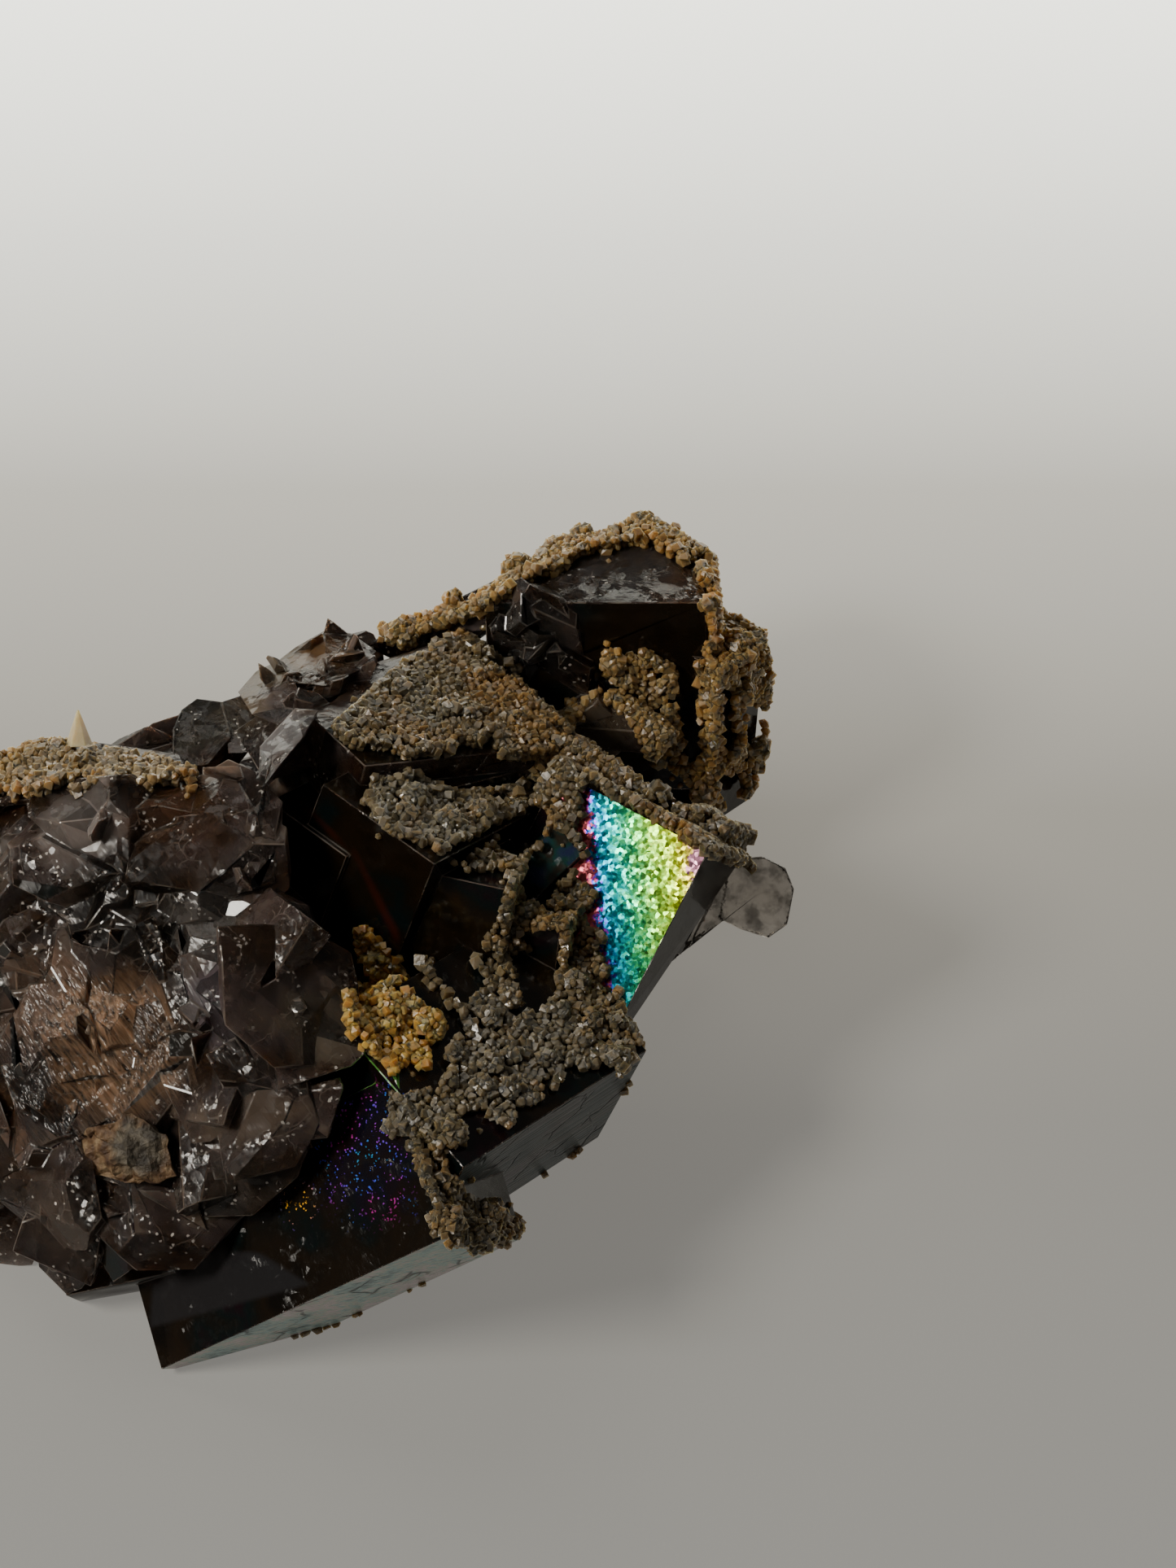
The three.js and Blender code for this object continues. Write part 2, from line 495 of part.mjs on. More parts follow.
const matrix = biggestBody(chunk(MATRIX_PATCH).subtract(fluoriteCleared));
const stained = crust({
  carrier: frontMesh, grown: frontSkin, cleared: bareOfCrust, outline: STAINED_PATCH, level: LEVEL.stained, seed: 5,
}).intersect(besideStain);
const frontCrust = crust({
  carrier: frontMesh,
  grown: frontSkin,
  cleared: union([bareOfCrust, windows, prism(widened(STAINED_PATCH, LUMP + GAP))]),
  outline: FRONT_PATCH,
  level: LEVEL.front,
  seed: 6,
});
const rearCrust = crust({
  carrier: rearMesh, grown: rearSkin, cleared: bareOfCrust, outline: REAR_PATCH, level: LEVEL.rear, seed: 7,
});
const ledgeCrust = crust({
  carrier: frontMesh, grown: frontSkin, cleared: union([bareOfCrust, spike(GAP)]), outline: LEDGE_PATCH,
  level: LEVEL.ledge, seed: 8,
});

const specimen = new THREE.Group();
specimen.add(frontMesh, rearMesh);
specimen.add(meshOf("side_blade", sideBlade, FINISH.clear));
specimen.add(meshOf("stained_calcite", stained, FINISH.ochre));
specimen.add(meshOf("calcite_crust_front", frontCrust, FINISH.calcite));
specimen.add(meshOf("calcite_crust_rear", rearCrust, FINISH.calcite));
specimen.add(meshOf("calcite_crust_ledge", ledgeCrust, FINISH.calcite));
const spikeAlone = biggestBody(spike(0).subtract(fluoriteCleared));
specimen.add(meshOf("calcite_spike", spikeAlone, FINISH.calcite));
specimen.add(meshOf("matrix_remnant", matrix, FINISH.rock));
specimen.rotation.x = Math.PI / 2 - LEAN;

// The origin is on the resting plane, under the middle of the specimen.
const middle = new THREE.Box3().setFromObject(specimen, true).getCenter(new THREE.Vector3());
specimen.position.set(-middle.x, -middle.y, -BASE_HEIGHT);

export default specimen;
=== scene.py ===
"""The looks of a fluorite specimen with a calcite crust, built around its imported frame.

Each operator makes one piece or one group of like pieces. It copies a frame node, or fills the node's room
with grains, gives it a finish, and lets it ride on the specimen's one body.
"""

import math
import random

import bpy
import numpy as np
from bpy.props import FloatProperty, FloatVectorProperty, IntProperty, PointerProperty
from mathutils import Euler, Matrix, Vector, noise
from mathutils.bvhtree import BVHTree


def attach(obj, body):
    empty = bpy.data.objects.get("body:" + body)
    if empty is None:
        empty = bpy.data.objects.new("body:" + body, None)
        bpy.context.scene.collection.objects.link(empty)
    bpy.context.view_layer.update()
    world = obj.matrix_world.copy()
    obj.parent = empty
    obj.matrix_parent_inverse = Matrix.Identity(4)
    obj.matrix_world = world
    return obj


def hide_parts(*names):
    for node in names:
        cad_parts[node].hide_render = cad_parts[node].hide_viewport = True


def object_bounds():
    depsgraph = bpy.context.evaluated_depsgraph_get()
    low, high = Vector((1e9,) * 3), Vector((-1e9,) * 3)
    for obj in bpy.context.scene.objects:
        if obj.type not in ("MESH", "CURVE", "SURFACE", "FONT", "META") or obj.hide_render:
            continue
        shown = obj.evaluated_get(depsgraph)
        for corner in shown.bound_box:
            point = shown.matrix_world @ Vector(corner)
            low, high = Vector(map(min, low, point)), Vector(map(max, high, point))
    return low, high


bl_info = {
    "name": "Fluorite with calcite",
    "version": (1, 0, 0),
    "blender": (4, 5, 0),
    "location": "3D View > Sidebar > Specimen",
    "description": "Builds a fluorite specimen with a calcite crust around its packed frame",
    "category": "Add Mesh",
}

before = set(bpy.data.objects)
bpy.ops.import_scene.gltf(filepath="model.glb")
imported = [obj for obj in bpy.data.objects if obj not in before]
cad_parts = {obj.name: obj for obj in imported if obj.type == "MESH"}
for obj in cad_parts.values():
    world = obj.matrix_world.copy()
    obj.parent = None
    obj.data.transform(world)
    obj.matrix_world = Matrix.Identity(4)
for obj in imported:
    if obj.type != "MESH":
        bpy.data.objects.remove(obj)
CAD_BOX = [list(corner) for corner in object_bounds()]

BODY = "root"
MM = 0.001
BOX_ROOM = 0.4 * MM

# The photograph looks at the specimen from this height over the resting plane. Pixels of the photograph
# are named values: the face frame's origin is one, and its plane has this many to the millimetre.
VIEW_ELEVATION = math.radians(55)
VIEW_DISTANCE = 500 * MM
PIXELS_PER_MM = 14
PHOTO_CENTRE = (722.5, 963.5)
FACE_ORIGIN_PIXEL = (450, 1150)
FACE_ORIGIN = Vector((4.867, -7.974, 23.0)) * MM
PHOTO_HEIGHT = 1927
SENSOR = 36

# Axes of the face frame: to the right, up the face, and out of it towards the viewer
RIGHT = Vector((1, 0, 0))
UP_FACE = Vector((0, math.sin(VIEW_ELEVATION), math.cos(VIEW_ELEVATION)))
OUT = Vector((0, -math.cos(VIEW_ELEVATION), math.sin(VIEW_ELEVATION)))

# Turns and falls of each cube's two front edges in degrees, as in the part's source, and the wedge's own
CUBE_LIES = {
    "main": (145, 20, 27, 51),
    "crown": (141, 35, 14, 40),
    "right": (31, 34, 132, 16),
    "foot": (207, 30.7, 107.3, 15.9),
    "toe": (193, 8, 101, 14),
    "flash": (151.7, 22, 242.9, 3),
    "nook": (168, 10, 262, 25),
    "plate": (133, 8, 227, 6),
    "rear": (180, 4, 272, 27),
    "flank": (150, 30, 266, 37),
    "wedge": (215, 25, 325, 25),
}

# The way that the feathery breaks of the cleaved mass run
FEATHER_RUN = (RIGHT * 0.6 - UP_FACE * 0.8).normalized()

FLUORITE_IOR = 1.434
CALCITE_IOR = 1.6


def face_place(u, v, w=0.0):
    """A place of the face frame, given in millimetres, in the specimen's frame in metres."""
    return FACE_ORIGIN + (RIGHT * u + UP_FACE * v + OUT * w) * MM


def pixel_place(pixel, w=0.0):
    """The place of a pixel in the face frame's plane, moved out of it by w millimetres."""
    u = (pixel[0] - FACE_ORIGIN_PIXEL[0]) / PIXELS_PER_MM
    v = (FACE_ORIGIN_PIXEL[1] - pixel[1]) / PIXELS_PER_MM
    return face_place(u, v, w)


EYE = pixel_place(PHOTO_CENTRE, VIEW_DISTANCE / MM)


def surface_of(*names):
    """A surface of frame nodes that rays can be cast on."""
    vertices, faces = [], []
    for name in names:
        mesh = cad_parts[name].data
        first = len(vertices)
        vertices += [vertex.co.copy() for vertex in mesh.vertices]
        faces += [[first + i for i in face.vertices] for face in mesh.polygons]
    return BVHTree.FromPolygons(vertices, faces)


FLUORITE = surface_of("fluorite_cluster", "rear_fluorite", "side_blade")
WHOLE = surface_of(*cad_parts)


def look(pixel, surface=FLUORITE):
    """The place and the normal that a pixel shows on a surface, or None twice beside it."""
    return surface.ray_cast(EYE, (pixel_place(pixel) - EYE).normalized())[:2]


def seen(pixel, surface=FLUORITE):
    """The place and the normal that a pixel of the photograph shows on a surface."""
    place, normal = look(pixel, surface)
    if place is None:
        raise ValueError(f"nothing is seen at pixel {pixel}")
    return place, normal


def pixel_of(place):
    """The pixel of the photograph that shows a place."""
    offset = place - EYE
    share = VIEW_DISTANCE / -OUT.dot(offset) / MM * PIXELS_PER_MM
    return PHOTO_CENTRE[0] + RIGHT.dot(offset) * share, PHOTO_CENTRE[1] - UP_FACE.dot(offset) * share


def edge_direction(turn, fall):
    """The direction of an edge that turns in the face frame and falls away from the viewer."""
    turn, fall = math.radians(turn), math.radians(fall)
    across = RIGHT * math.cos(fall) * math.cos(turn)
    up = UP_FACE * math.cos(fall) * math.sin(turn)
    return across + up - OUT * math.sin(fall)


def cube_axes(lie):
    """The directions of a cube's three edges."""
    turn_a, fall_a, turn_b, fall_b = CUBE_LIES[lie]
    a = edge_direction(turn_a, fall_a)
    b = edge_direction(turn_b, fall_b)
    b = (b - a * a.dot(b)).normalized()
    return a, b, a.cross(b)


# Modelling

def deselect_all():
    if bpy.context.object and bpy.context.object.mode != "OBJECT":
        bpy.ops.object.mode_set(mode="OBJECT")
    bpy.ops.object.select_all(action="DESELECT")


def select_only(piece):
    deselect_all()
    piece.select_set(True)
    bpy.context.view_layer.objects.active = piece


def linked(name, mesh):
    """A new object of a mesh, in the scene and selected alone."""
    piece = bpy.data.objects.new(name, mesh)
    bpy.context.scene.collection.objects.link(piece)
    select_only(piece)
    return piece


def merged_copy(node, name):
    """A copy of a frame node, with its triangles merged into whole faces."""
    piece = linked(name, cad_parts[node].data.copy())
    piece.data.materials.clear()
    piece.data.name = name
    bpy.ops.object.mode_set(mode="EDIT")
    bpy.ops.mesh.select_all(action="SELECT")
    bpy.ops.mesh.remove_doubles(threshold=1e-6)
    bpy.ops.mesh.dissolve_limited(angle_limit=math.radians(0.4))
    bpy.ops.object.mode_set(mode="OBJECT")
    return piece


def apply_boolean(piece, tool, operation):
    """Joins a closed tool to a piece, or cuts the piece with it, and removes the tool."""
    select_only(piece)
    modifier = piece.modifiers.new("shape", "BOOLEAN")
    modifier.operation = operation
    modifier.solver = "MANIFOLD"
    modifier.object = tool
    bpy.ops.object.modifier_apply(modifier=modifier.name)
    bpy.data.objects.remove(tool)


def bevel_edges(piece, width, least_angle, least_length):
    """Rounds the long sharp edges of a piece a little, as wear does."""
    select_only(piece)
    bpy.ops.object.mode_set(mode="EDIT")
    bpy.ops.mesh.select_mode(type="EDGE")
    bpy.ops.mesh.select_all(action="DESELECT")
    bpy.ops.mesh.edges_select_sharp(sharpness=least_angle)
    bpy.ops.object.mode_set(mode="OBJECT")
    vertices = piece.data.vertices
    for edge in piece.data.edges:
        ends = [vertices[i].co for i in edge.vertices]
        if (ends[0] - ends[1]).length < least_length:
            edge.select = False
    bpy.ops.object.mode_set(mode="EDIT")
    bpy.ops.mesh.bevel(offset=width, segments=1, clamp_overlap=False)
    bpy.ops.object.mode_set(mode="OBJECT")


def random_direction(source):
    return Vector([source.gauss(0, 1) for _ in range(3)]).normalized()


def random_turn(source):
    return Euler([source.uniform(0, 2 * math.pi) for _ in range(3)]).to_matrix()


def shard_shapes(count, reaches, seed):
    """Fragments about 1 in radius: cubes with six of their corners and two stray sides cut off."""
    source = random.Random(seed)
    shapes = []
    for _ in range(count):
        deselect_all()
        bpy.ops.mesh.primitive_cube_add(size=2)
        bpy.ops.object.mode_set(mode="EDIT")
        cuts = [Vector((x, y, z)).normalized() for x in (-1, 1) for y in (-1, 1) for z in (-1, 1)]
        cuts = source.sample(cuts, 6) + [random_direction(source) for _ in range(2)]
        for normal in cuts:
            bpy.ops.mesh.select_all(action="SELECT")
            reach = source.uniform(*reaches)
            bpy.ops.mesh.bisect(plane_co=normal * reach, plane_no=normal, use_fill=True, clear_outer=True)
        bpy.ops.object.mode_set(mode="OBJECT")
        shard = bpy.context.object
        shapes.append(shard.data)
        bpy.data.objects.remove(shard)
    return shapes


def placed_shard(shape, place, turn, scale):
    """A copy of a shard at its place, turned and stretched."""
    mesh = shape.copy()
    shard = linked("shard", mesh)
    for vertex in mesh.vertices:
        vertex.co = place + turn @ Vector([x * s for x, s in zip(vertex.co, scale)])
    return shard


def boxed(shards):
    """The shards that stay in the frame's box. The others are removed."""
    kept = []
    for shard in shards:
        if all(low - BOX_ROOM < x < high + BOX_ROOM
               for vertex in shard.data.vertices for x, low, high in zip(vertex.co, *CAD_BOX)):
            kept.append(shard)
        else:
            bpy.data.objects.remove(shard)
    return kept


def combined(shards):
    """One solid of overlapping shards, joined in pairs."""
    while len(shards) > 1:
        pairs = [shards[i:i + 2] for i in range(0, len(shards), 2)]
        for pair in pairs:
            if len(pair) == 2:
                apply_boolean(pair[0], pair[1], "UNION")
        shards = [pair[0] for pair in pairs]
    return shards[0]


def finish_piece(piece, material, slot, *nodes):
    """Gives a piece its finish, and lets it stand for its nodes and ride on the specimen. The slot is not
    used.
    """
    piece.data.materials.clear()
    piece.data.materials.append(material)
    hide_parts(*nodes)
    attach(piece, BODY)


# Shader maths

class Value:
    """A socket of a finish. Arithmetic on it adds the Math node that works it out."""

    def __init__(self, finish, socket):
        self.finish = finish
        self.socket = socket

    def math(self, operation, *values):
        return self.finish.node("Math", {"operation": operation}, dict(enumerate(values)))

    def __add__(self, other):
        return self.math("ADD", self, other)

    def __sub__(self, other):
        return self.math("SUBTRACT", self, other)

    def __mul__(self, other):
        return self.math("MULTIPLY", self, other)

    def __truediv__(self, other):
        return self.math("DIVIDE", self, other)

    def __radd__(self, other):
        return self.math("ADD", other, self)

    def __rsub__(self, other):
        return self.math("SUBTRACT", other, self)

    def __rmul__(self, other):
        return self.math("MULTIPLY", other, self)

    def __rtruediv__(self, other):
        return self.math("DIVIDE", other, self)


class Finish:
    """A material, whose nodes are all added by one method."""

    def __init__(self, name):
        self.material = bpy.data.materials.new(name)
        self.material.use_nodes = True
        self.tree = self.material.node_tree
        self.tree.nodes.clear()
        self.place = self.node("VectorMath", {"operation": "SCALE"}, {
            "Vector": self.node("TexCoord", output="Object"), "Scale": 1 / MM,
        })

    def node(self, kind, settings=None, values=None, output=None):
        """Adds a node, sets it up, fills or links its sockets, and gives one of its outputs."""
        made = self.tree.nodes.new("ShaderNode" + kind)
        for name, setting in (settings or {}).items():
            if name == "stops":
                self.set_stops(made.color_ramp, setting)
            else:
                setattr(made, name, setting)
        for name, value in (values or {}).items():
            socket = made.inputs[name] if isinstance(name, int) else next(
                socket for socket in made.inputs if socket.name == name and socket.enabled)
            if isinstance(value, Value):
                self.tree.links.new(value.socket, socket)
            elif socket.type == "RGBA":
                socket.default_value = (*value, 1)
            else:
                socket.default_value = value
        outputs = [socket for socket in made.outputs if socket.enabled and output in (None, socket.name)]
        return Value(self, outputs[0]) if outputs else None

    def set_stops(self, ramp, stops):
        while len(ramp.elements) < len(stops):
            ramp.elements.new(1)
        for element, (position, colour) in zip(ramp.elements, stops):
            element.position = position
            element.color = (*colour, 1)

    def vector(self, operation, *values, output=None):
        return self.node("VectorMath", {"operation": operation}, dict(enumerate(values)), output)

    def attribute(self, name):
        return self.node("Attribute", {"attribute_name": name}, output="Fac")

    def step(self, value, low, high):
        """A mask that rises from 0 to 1 as a value goes from low to high."""
        return self.node("MapRange", {"interpolation_type": "SMOOTHSTEP"},
                         {"Value": value, "From Min": low, "From Max": high})

    def clouds(self, size, detail=3.0, place=None):
        """Soft noise whose lumps are about size millimetres across."""
        return self.node("TexNoise", None, {
            "Vector": place or self.place, "Scale": 1 / size, "Detail": detail}, output="Fac")

    def speckle(self, size):
        """A random value in each of many cells, about size millimetres across."""
        cell = self.node("TexVoronoi", None, {"Vector": self.place, "Scale": 1 / size}, output="Color")
        return self.node("SeparateColor", None, {"Color": cell}, output="Red")

    def cracks(self, size, width):
        """A mask of wandering lines that part cells about size millimetres across."""
        drift = self.node("TexNoise", None, {"Vector": self.place, "Scale": 1.5 / size}, output="Color")
        wavy = self.vector("ADD", self.place, self.scaled(drift, size / 2))
        gap = self.node("TexVoronoi", {"feature": "DISTANCE_TO_EDGE"}, {"Vector": wavy, "Scale": 1 / size},
                        output="Distance")
        return (1 - self.step(gap, 0.0, width / size)) * self.step(self.clouds(size), 0.45, 0.6)

    def chips(self, size):
        """Heights of small flat breaks, each tilted its own way, in millimetres for a tilt of 1."""
        cells = self.node("TexVoronoi", None, {"Vector": self.place, "Scale": 1 / size}, output="Color")
        middles = Value(self, cells.socket.node.outputs["Position"])
        tilt = self.vector("SUBTRACT", cells, (0.5, 0.5, 0.5))
        return self.vector("DOT_PRODUCT", tilt, self.vector("SUBTRACT", self.place, middles), output="Value")

    def streaks(self, along, length, width):
        """Noise drawn out along a direction."""
        run = self.vector("DOT_PRODUCT", self.place, along, output="Value") * (1 - width / length)
        drawn = self.vector("SUBTRACT", self.place, self.node(
            "VectorMath", {"operation": "SCALE"}, {"Vector": tuple(along), "Scale": run}))
        return self.clouds(width, 2.0, drawn)

    def near(self, centre, radius, ragged):
        """A mask that is 1 round a place and fades out at a ragged radius in millimetres."""
        gap = self.vector("DISTANCE", self.place, tuple(centre / MM), output="Value")
        return 1 - self.step(gap + ragged, radius * 0.6, radius * 1.15)

    def within(self, outline, soft=0.3):
        """A mask that is 1 inside an outline with no hollows, drawn in pixels on the photograph."""
        corners = [pixel_place(pixel) - EYE for pixel in outline]
        middle = sum(corners, Vector())
        mask = 1.0
        for first, second in zip(corners, corners[1:] + corners[:1]):
            inwards = first.cross(second).normalized()
            if inwards.dot(middle) < 0:
                inwards = -inwards
            gap = self.vector("DOT_PRODUCT", self.place, tuple(inwards), output="Value")
            mask = self.step(gap - EYE.dot(inwards) / MM, 0, soft) * mask
        return mask

    def ramp(self, value, *stops):
        return self.node("ValToRGB", {"stops": stops}, {"Fac": value}, output="Color")

    def mix(self, factor, first, second):
        return self.node("Mix", {"data_type": "RGBA"}, {"Factor": factor, "A": first, "B": second})

    def scaled(self, colour, value):
        """A colour made lighter or darker by a value."""
        return self.node("VectorMath", {"operation": "SCALE"}, {"Vector": colour, "Scale": value})

    def bump(self, height):
        """A normal for heights in millimetres."""
        return self.node("Bump", None, {"Height": height, "Distance": MM, "Strength": 1.0})

    def principled(self, **values):
        return self.node("BsdfPrincipled", None, {name.replace("_", " "): v for name, v in values.items()})

    def output(self, surface, volume=None):
        values = {"Surface": surface} if volume is None else {"Surface": surface, "Volume": volume}
        self.node("OutputMaterial", None, values)
        return self.material


# Finishes

CLEAVED_SPOTS = (
    # pixel, radius in millimetres, colour
    ((205, 1000), 5.0, (0.060, 0.024, 0.008)),
    ((95, 1010), 4.5, (0.26, 0.22, 0.20)),
    ((165, 1110), 6.5, (0.010, 0.006, 0.003)),
    ((265, 1140), 4.2, (0.10, 0.088, 0.080)),
    ((285, 1230), 4.5, (0.085, 0.066, 0.075)),
    ((395, 1260), 4.0, (0.095, 0.075, 0.055)),
    ((60, 1230), 5.0, (0.15, 0.095, 0.065)),
    ((150, 1290), 7.0, (0.24, 0.145, 0.085)),
    ((50, 1380), 6.0, (0.22, 0.115, 0.060)),
    ((235, 1390), 4.0, (0.16, 0.066, 0.018)),
    ((320, 1330), 3.0, (0.20, 0.17, 0.15)),
    ((90, 1500), 4.5, (0.11, 0.080, 0.062)),
    ((310, 1460), 4.5, (0.035, 0.024, 0.016)),
    ((240, 885), 5.0, (0.012, 0.011, 0.007)),
    ((345, 905), 3.0, (0.16, 0.15, 0.15)),
    ((268, 945), 2.6, (0.22, 0.155, 0.115)),
    ((330, 820), 5.0, (0.11, 0.085, 0.055)),
    ((400, 800), 3.5, (0.13, 0.065, 0.022)),
    ((300, 880), 3.0, (0.10, 0.070, 0.040)),
)
REAR_SPOTS = (
    ((760, 690), 7.0, (0.070, 0.056, 0.050)),
    ((850, 725), 4.5, (0.075, 0.030, 0.010)),
    ((650, 790), 5.0, (0.016, 0.015, 0.014)),
    ((728, 892), 4.0, (0.100, 0.075, 0.050)),
)
FEATHERED_SPOT = ((120, 1310), 9.0)
FROSTED_SPOT = ((275, 1120), 7.0)
# Patch of painted glints on a grown face, and the spot where its painted glints are gold
GLINT_PATCH_SPOT = ((455, 1415), 6.5)
GOLD_GLINT_SPOT = ((366, 1478), 2.2)
VEIL_OUTLINE = ((180, 1637), (185, 1545), (220, 1532), (320, 1535), (390, 1580))
WINDOW_OUTLINE = ((655, 1030), (690, 1012), (720, 1052), (690, 1105), (640, 1085))
RED_STREAKS = (
    ((345, 975), (358, 968), (425, 1030), (440, 1062), (400, 1030)),
    ((425, 1040), (436, 1035), (498, 1150), (490, 1180)),
)
# Spot of the painted green glint along worn edges, with its colour below
GREEN_EDGE = ((465, 1328), 3.5)
FLASH_LEFT_PIXEL = (730, 1098)
FLASH_RIGHT_PIXEL = (855, 1078)
GREEN_GLINT = (0.10, 0.32, 0.05)

# Colours of the fluorite over a share or a noise value
FLASH_COLOURS = (
    (0.00, (0.40, 0.08, 0.10)), (0.02, (0.28, 0.02, 0.24)), (0.04, (0.04, 0.03, 0.34)),
    (0.08, (0.0, 0.15, 0.32)), (0.25, (0.0, 0.32, 0.30)), (0.42, (0.05, 0.52, 0.15)),
    (0.60, (0.25, 0.60, 0.05)), (0.84, (0.38, 0.50, 0.01)), (0.98, (0.46, 0.34, 0.05)),
    (1.00, (0.30, 0.14, 0.20)),
)
MASS_COLOURS = (
    (0.34, (0.028, 0.011, 0.003)), (0.44, (0.040, 0.021, 0.011)), (0.54, (0.056, 0.040, 0.036)),
    (0.66, (0.110, 0.080, 0.060)),
)
# Colour of the pale cracks, and of the painted highlights on worn edges
CRACK_AND_EDGE_HIGHLIGHT_COLOUR = (0.36, 0.31, 0.26)
# Pale dots of painted sparkle highlight on the cleaved fluorite
PAINTED_SPARKLE_COLOUR = (0.75, 0.70, 0.64)
# Nearly black grown faces, with a painted faint iridescent reflection tint
HAZE_COLOURS = (
    (0.30, (0.003, 0.002, 0.001)), (0.42, (0.009, 0.005, 0.002)), (0.50, (0.006, 0.004, 0.002)),
    (0.58, (0.002, 0.005, 0.005)), (0.66, (0.008, 0.002, 0.004)), (0.74, (0.003, 0.002, 0.001)),
)
VEIL_COLOUR = (0.016, 0.015, 0.016)
WINDOW_COLOURS = (
    (0.40, (0.020, 0.016, 0.010)), (0.50, (0.008, 0.040, 0.034)), (0.62, (0.014, 0.022, 0.060)),
)
RED_STREAK_COLOUR = (0.050, 0.008, 0.003)
# Dark ground of the patch of painted glints, then the colours of the painted glints and of the gold ones
GLINT_PATCH_GROUND = (
    (0.35, (0.012, 0.003, 0.004)), (0.50, (0.004, 0.003, 0.014)), (0.65, (0.009, 0.004, 0.006)),
)
PAINTED_GLINT_COLOURS = (
    (0.38, (0.55, 0.03, 0.35)), (0.47, (0.30, 0.05, 0.60)), (0.54, (0.06, 0.10, 0.85)),
    (0.62, (0.03, 0.30, 0.60)),
)
GOLD_GLINT_COLOUR = (0.85, 0.42, 0.03)
# Teal-grey of the streaked faces, partly their own colour and partly a painted sheen
SHEEN_COLOURS = (
    (0.28, (0.045, 0.06, 0.06)), (0.45, (0.10, 0.145, 0.14)), (0.55, (0.13, 0.14, 0.115)),
    (0.68, (0.17, 0.145, 0.15)),
)
MILK_COLOURS = ((0.35, (0.06, 0.05, 0.04)), (0.65, (0.25, 0.22, 0.18)))

# Widths of the fluorite's patterns in millimetres
ZONE_SIZE = 6.5
HAZE_SIZE = 7.0
# Width of the painted glint dots
PAINTED_GLINT_SIZE = 0.14
# Width of the painted sparkle dots
PAINTED_SPARKLE_SIZE = 0.22
CHIP_SIZE = 1.7
CRUSHED_CHIP_SIZE = 0.6
FLASH_GRAIN_SIZE = 0.35
STREAK_LENGTH = 14.0
FIBRE_LENGTH = 5.0

# How much light the fluorite's inside takes away, for each metre
SMOKY_DENSITY = 850.0
CLEAR_DENSITY = 360.0
CLEAR_TINT = (0.52, 0.48, 0.42)


def cleaved_colour(finish, tone, edge, spots, fibres):
    """The colour of cleaved fluorite: mauve, brown and grey zones, with pale cracks and painted highlights
    and a painted green glint on worn edges.
    """
    colour = finish.ramp(finish.clouds(ZONE_SIZE, 4.0) + (tone - 0.5) * 0.10, *MASS_COLOURS)
    ragged = (finish.clouds(2.0) - 0.5) * 4
    for pixel, radius, spot in spots:
        colour = finish.mix(finish.near(seen(pixel)[0], radius, ragged) * 0.85, colour, spot)
    colour = finish.scaled(colour, (0.4 + tone * 1.2) * (1 + fibres * 4))
    crack = finish.cracks(3.0, 0.1)
    # Painted highlights along some worn edges, where real edges would catch the light
    painted_edge_highlight = edge * finish.step(finish.clouds(2.5), 0.40, 0.62) * 0.35
    colour = finish.mix(painted_edge_highlight.math("MAXIMUM", painted_edge_highlight, crack * 0.25), colour, CRACK_AND_EDGE_HIGHLIGHT_COLOUR)
    # A painted green glint along the worn edges near one spot
    green = finish.near(seen(GREEN_EDGE[0])[0], GREEN_EDGE[1], ragged * 0.3)
    return finish.mix(green * edge, colour, GREEN_GLINT)


def grown_colour(finish, clouded):
    """The colour of a grown face: nearly black, with a faint painted iridescent reflection tint and, where
    clouded, painted glints.
    """
    # The dark face colour with a painted iridescent reflection tint
    haze = finish.ramp(finish.clouds(HAZE_SIZE, 4.0), *HAZE_COLOURS)
    if not clouded:
        return haze
    haze = finish.mix(finish.within(VEIL_OUTLINE, 0.6), haze, VEIL_COLOUR)
    window = finish.ramp(finish.clouds(2.0), *WINDOW_COLOURS)
    haze = finish.mix(finish.within(WINDOW_OUTLINE, 0.6), haze, window)
    for outline in RED_STREAKS:
        haze = finish.mix(finish.within(outline, 1.0), haze, RED_STREAK_COLOUR)
    ragged = (finish.clouds(2.5) - 0.5) * 5
    # Painted glints: coloured and gold dots in a patch of a grown face, where its specks would catch the
    # light
    glint_patch = finish.near(seen(GLINT_PATCH_SPOT[0])[0], GLINT_PATCH_SPOT[1], ragged)
    gold = finish.near(seen(GOLD_GLINT_SPOT[0])[0], GOLD_GLINT_SPOT[1], ragged * 0.3)
    haze = finish.mix(glint_patch * 0.5, haze, finish.ramp(finish.clouds(3.0), *GLINT_PATCH_GROUND))
    painted_glints = finish.ramp(finish.clouds(3.0, 5.0), *PAINTED_GLINT_COLOURS)
    painted_glints = finish.mix(gold, painted_glints, GOLD_GLINT_COLOUR)
    lit = finish.step(finish.speckle(PAINTED_GLINT_SIZE), 0.93, 0.94) * finish.step(finish.clouds(1.2), 0.42, 0.52)
    return finish.mix(glint_patch.math("MAXIMUM", glint_patch, gold) * lit, haze, painted_glints)


def flash_share(finish):
    """How far across the iridescent face a place is: 0 at its left edge and 1 at its right one."""
    left, right = seen(FLASH_LEFT_PIXEL)[0], seen(FLASH_RIGHT_PIXEL)[0]
    across = (right - left) / (right - left).length_squared
    along = finish.vector("SUBTRACT", finish.place, tuple(left / MM))
    return finish.vector("DOT_PRODUCT", along, tuple(across * MM), output="Value")


def flash_colour(finish, share):
    """The iridescent face's colour: bands that follow its left edge, in grains of their own brightness."""
    wander = (finish.clouds(3.0) - 0.5) * 0.16 + (finish.speckle(0.3) - 0.5) * 0.12
    return finish.scaled(finish.ramp(share + wander, *FLASH_COLOURS), 0.7 + finish.speckle(0.26) * 1.5)


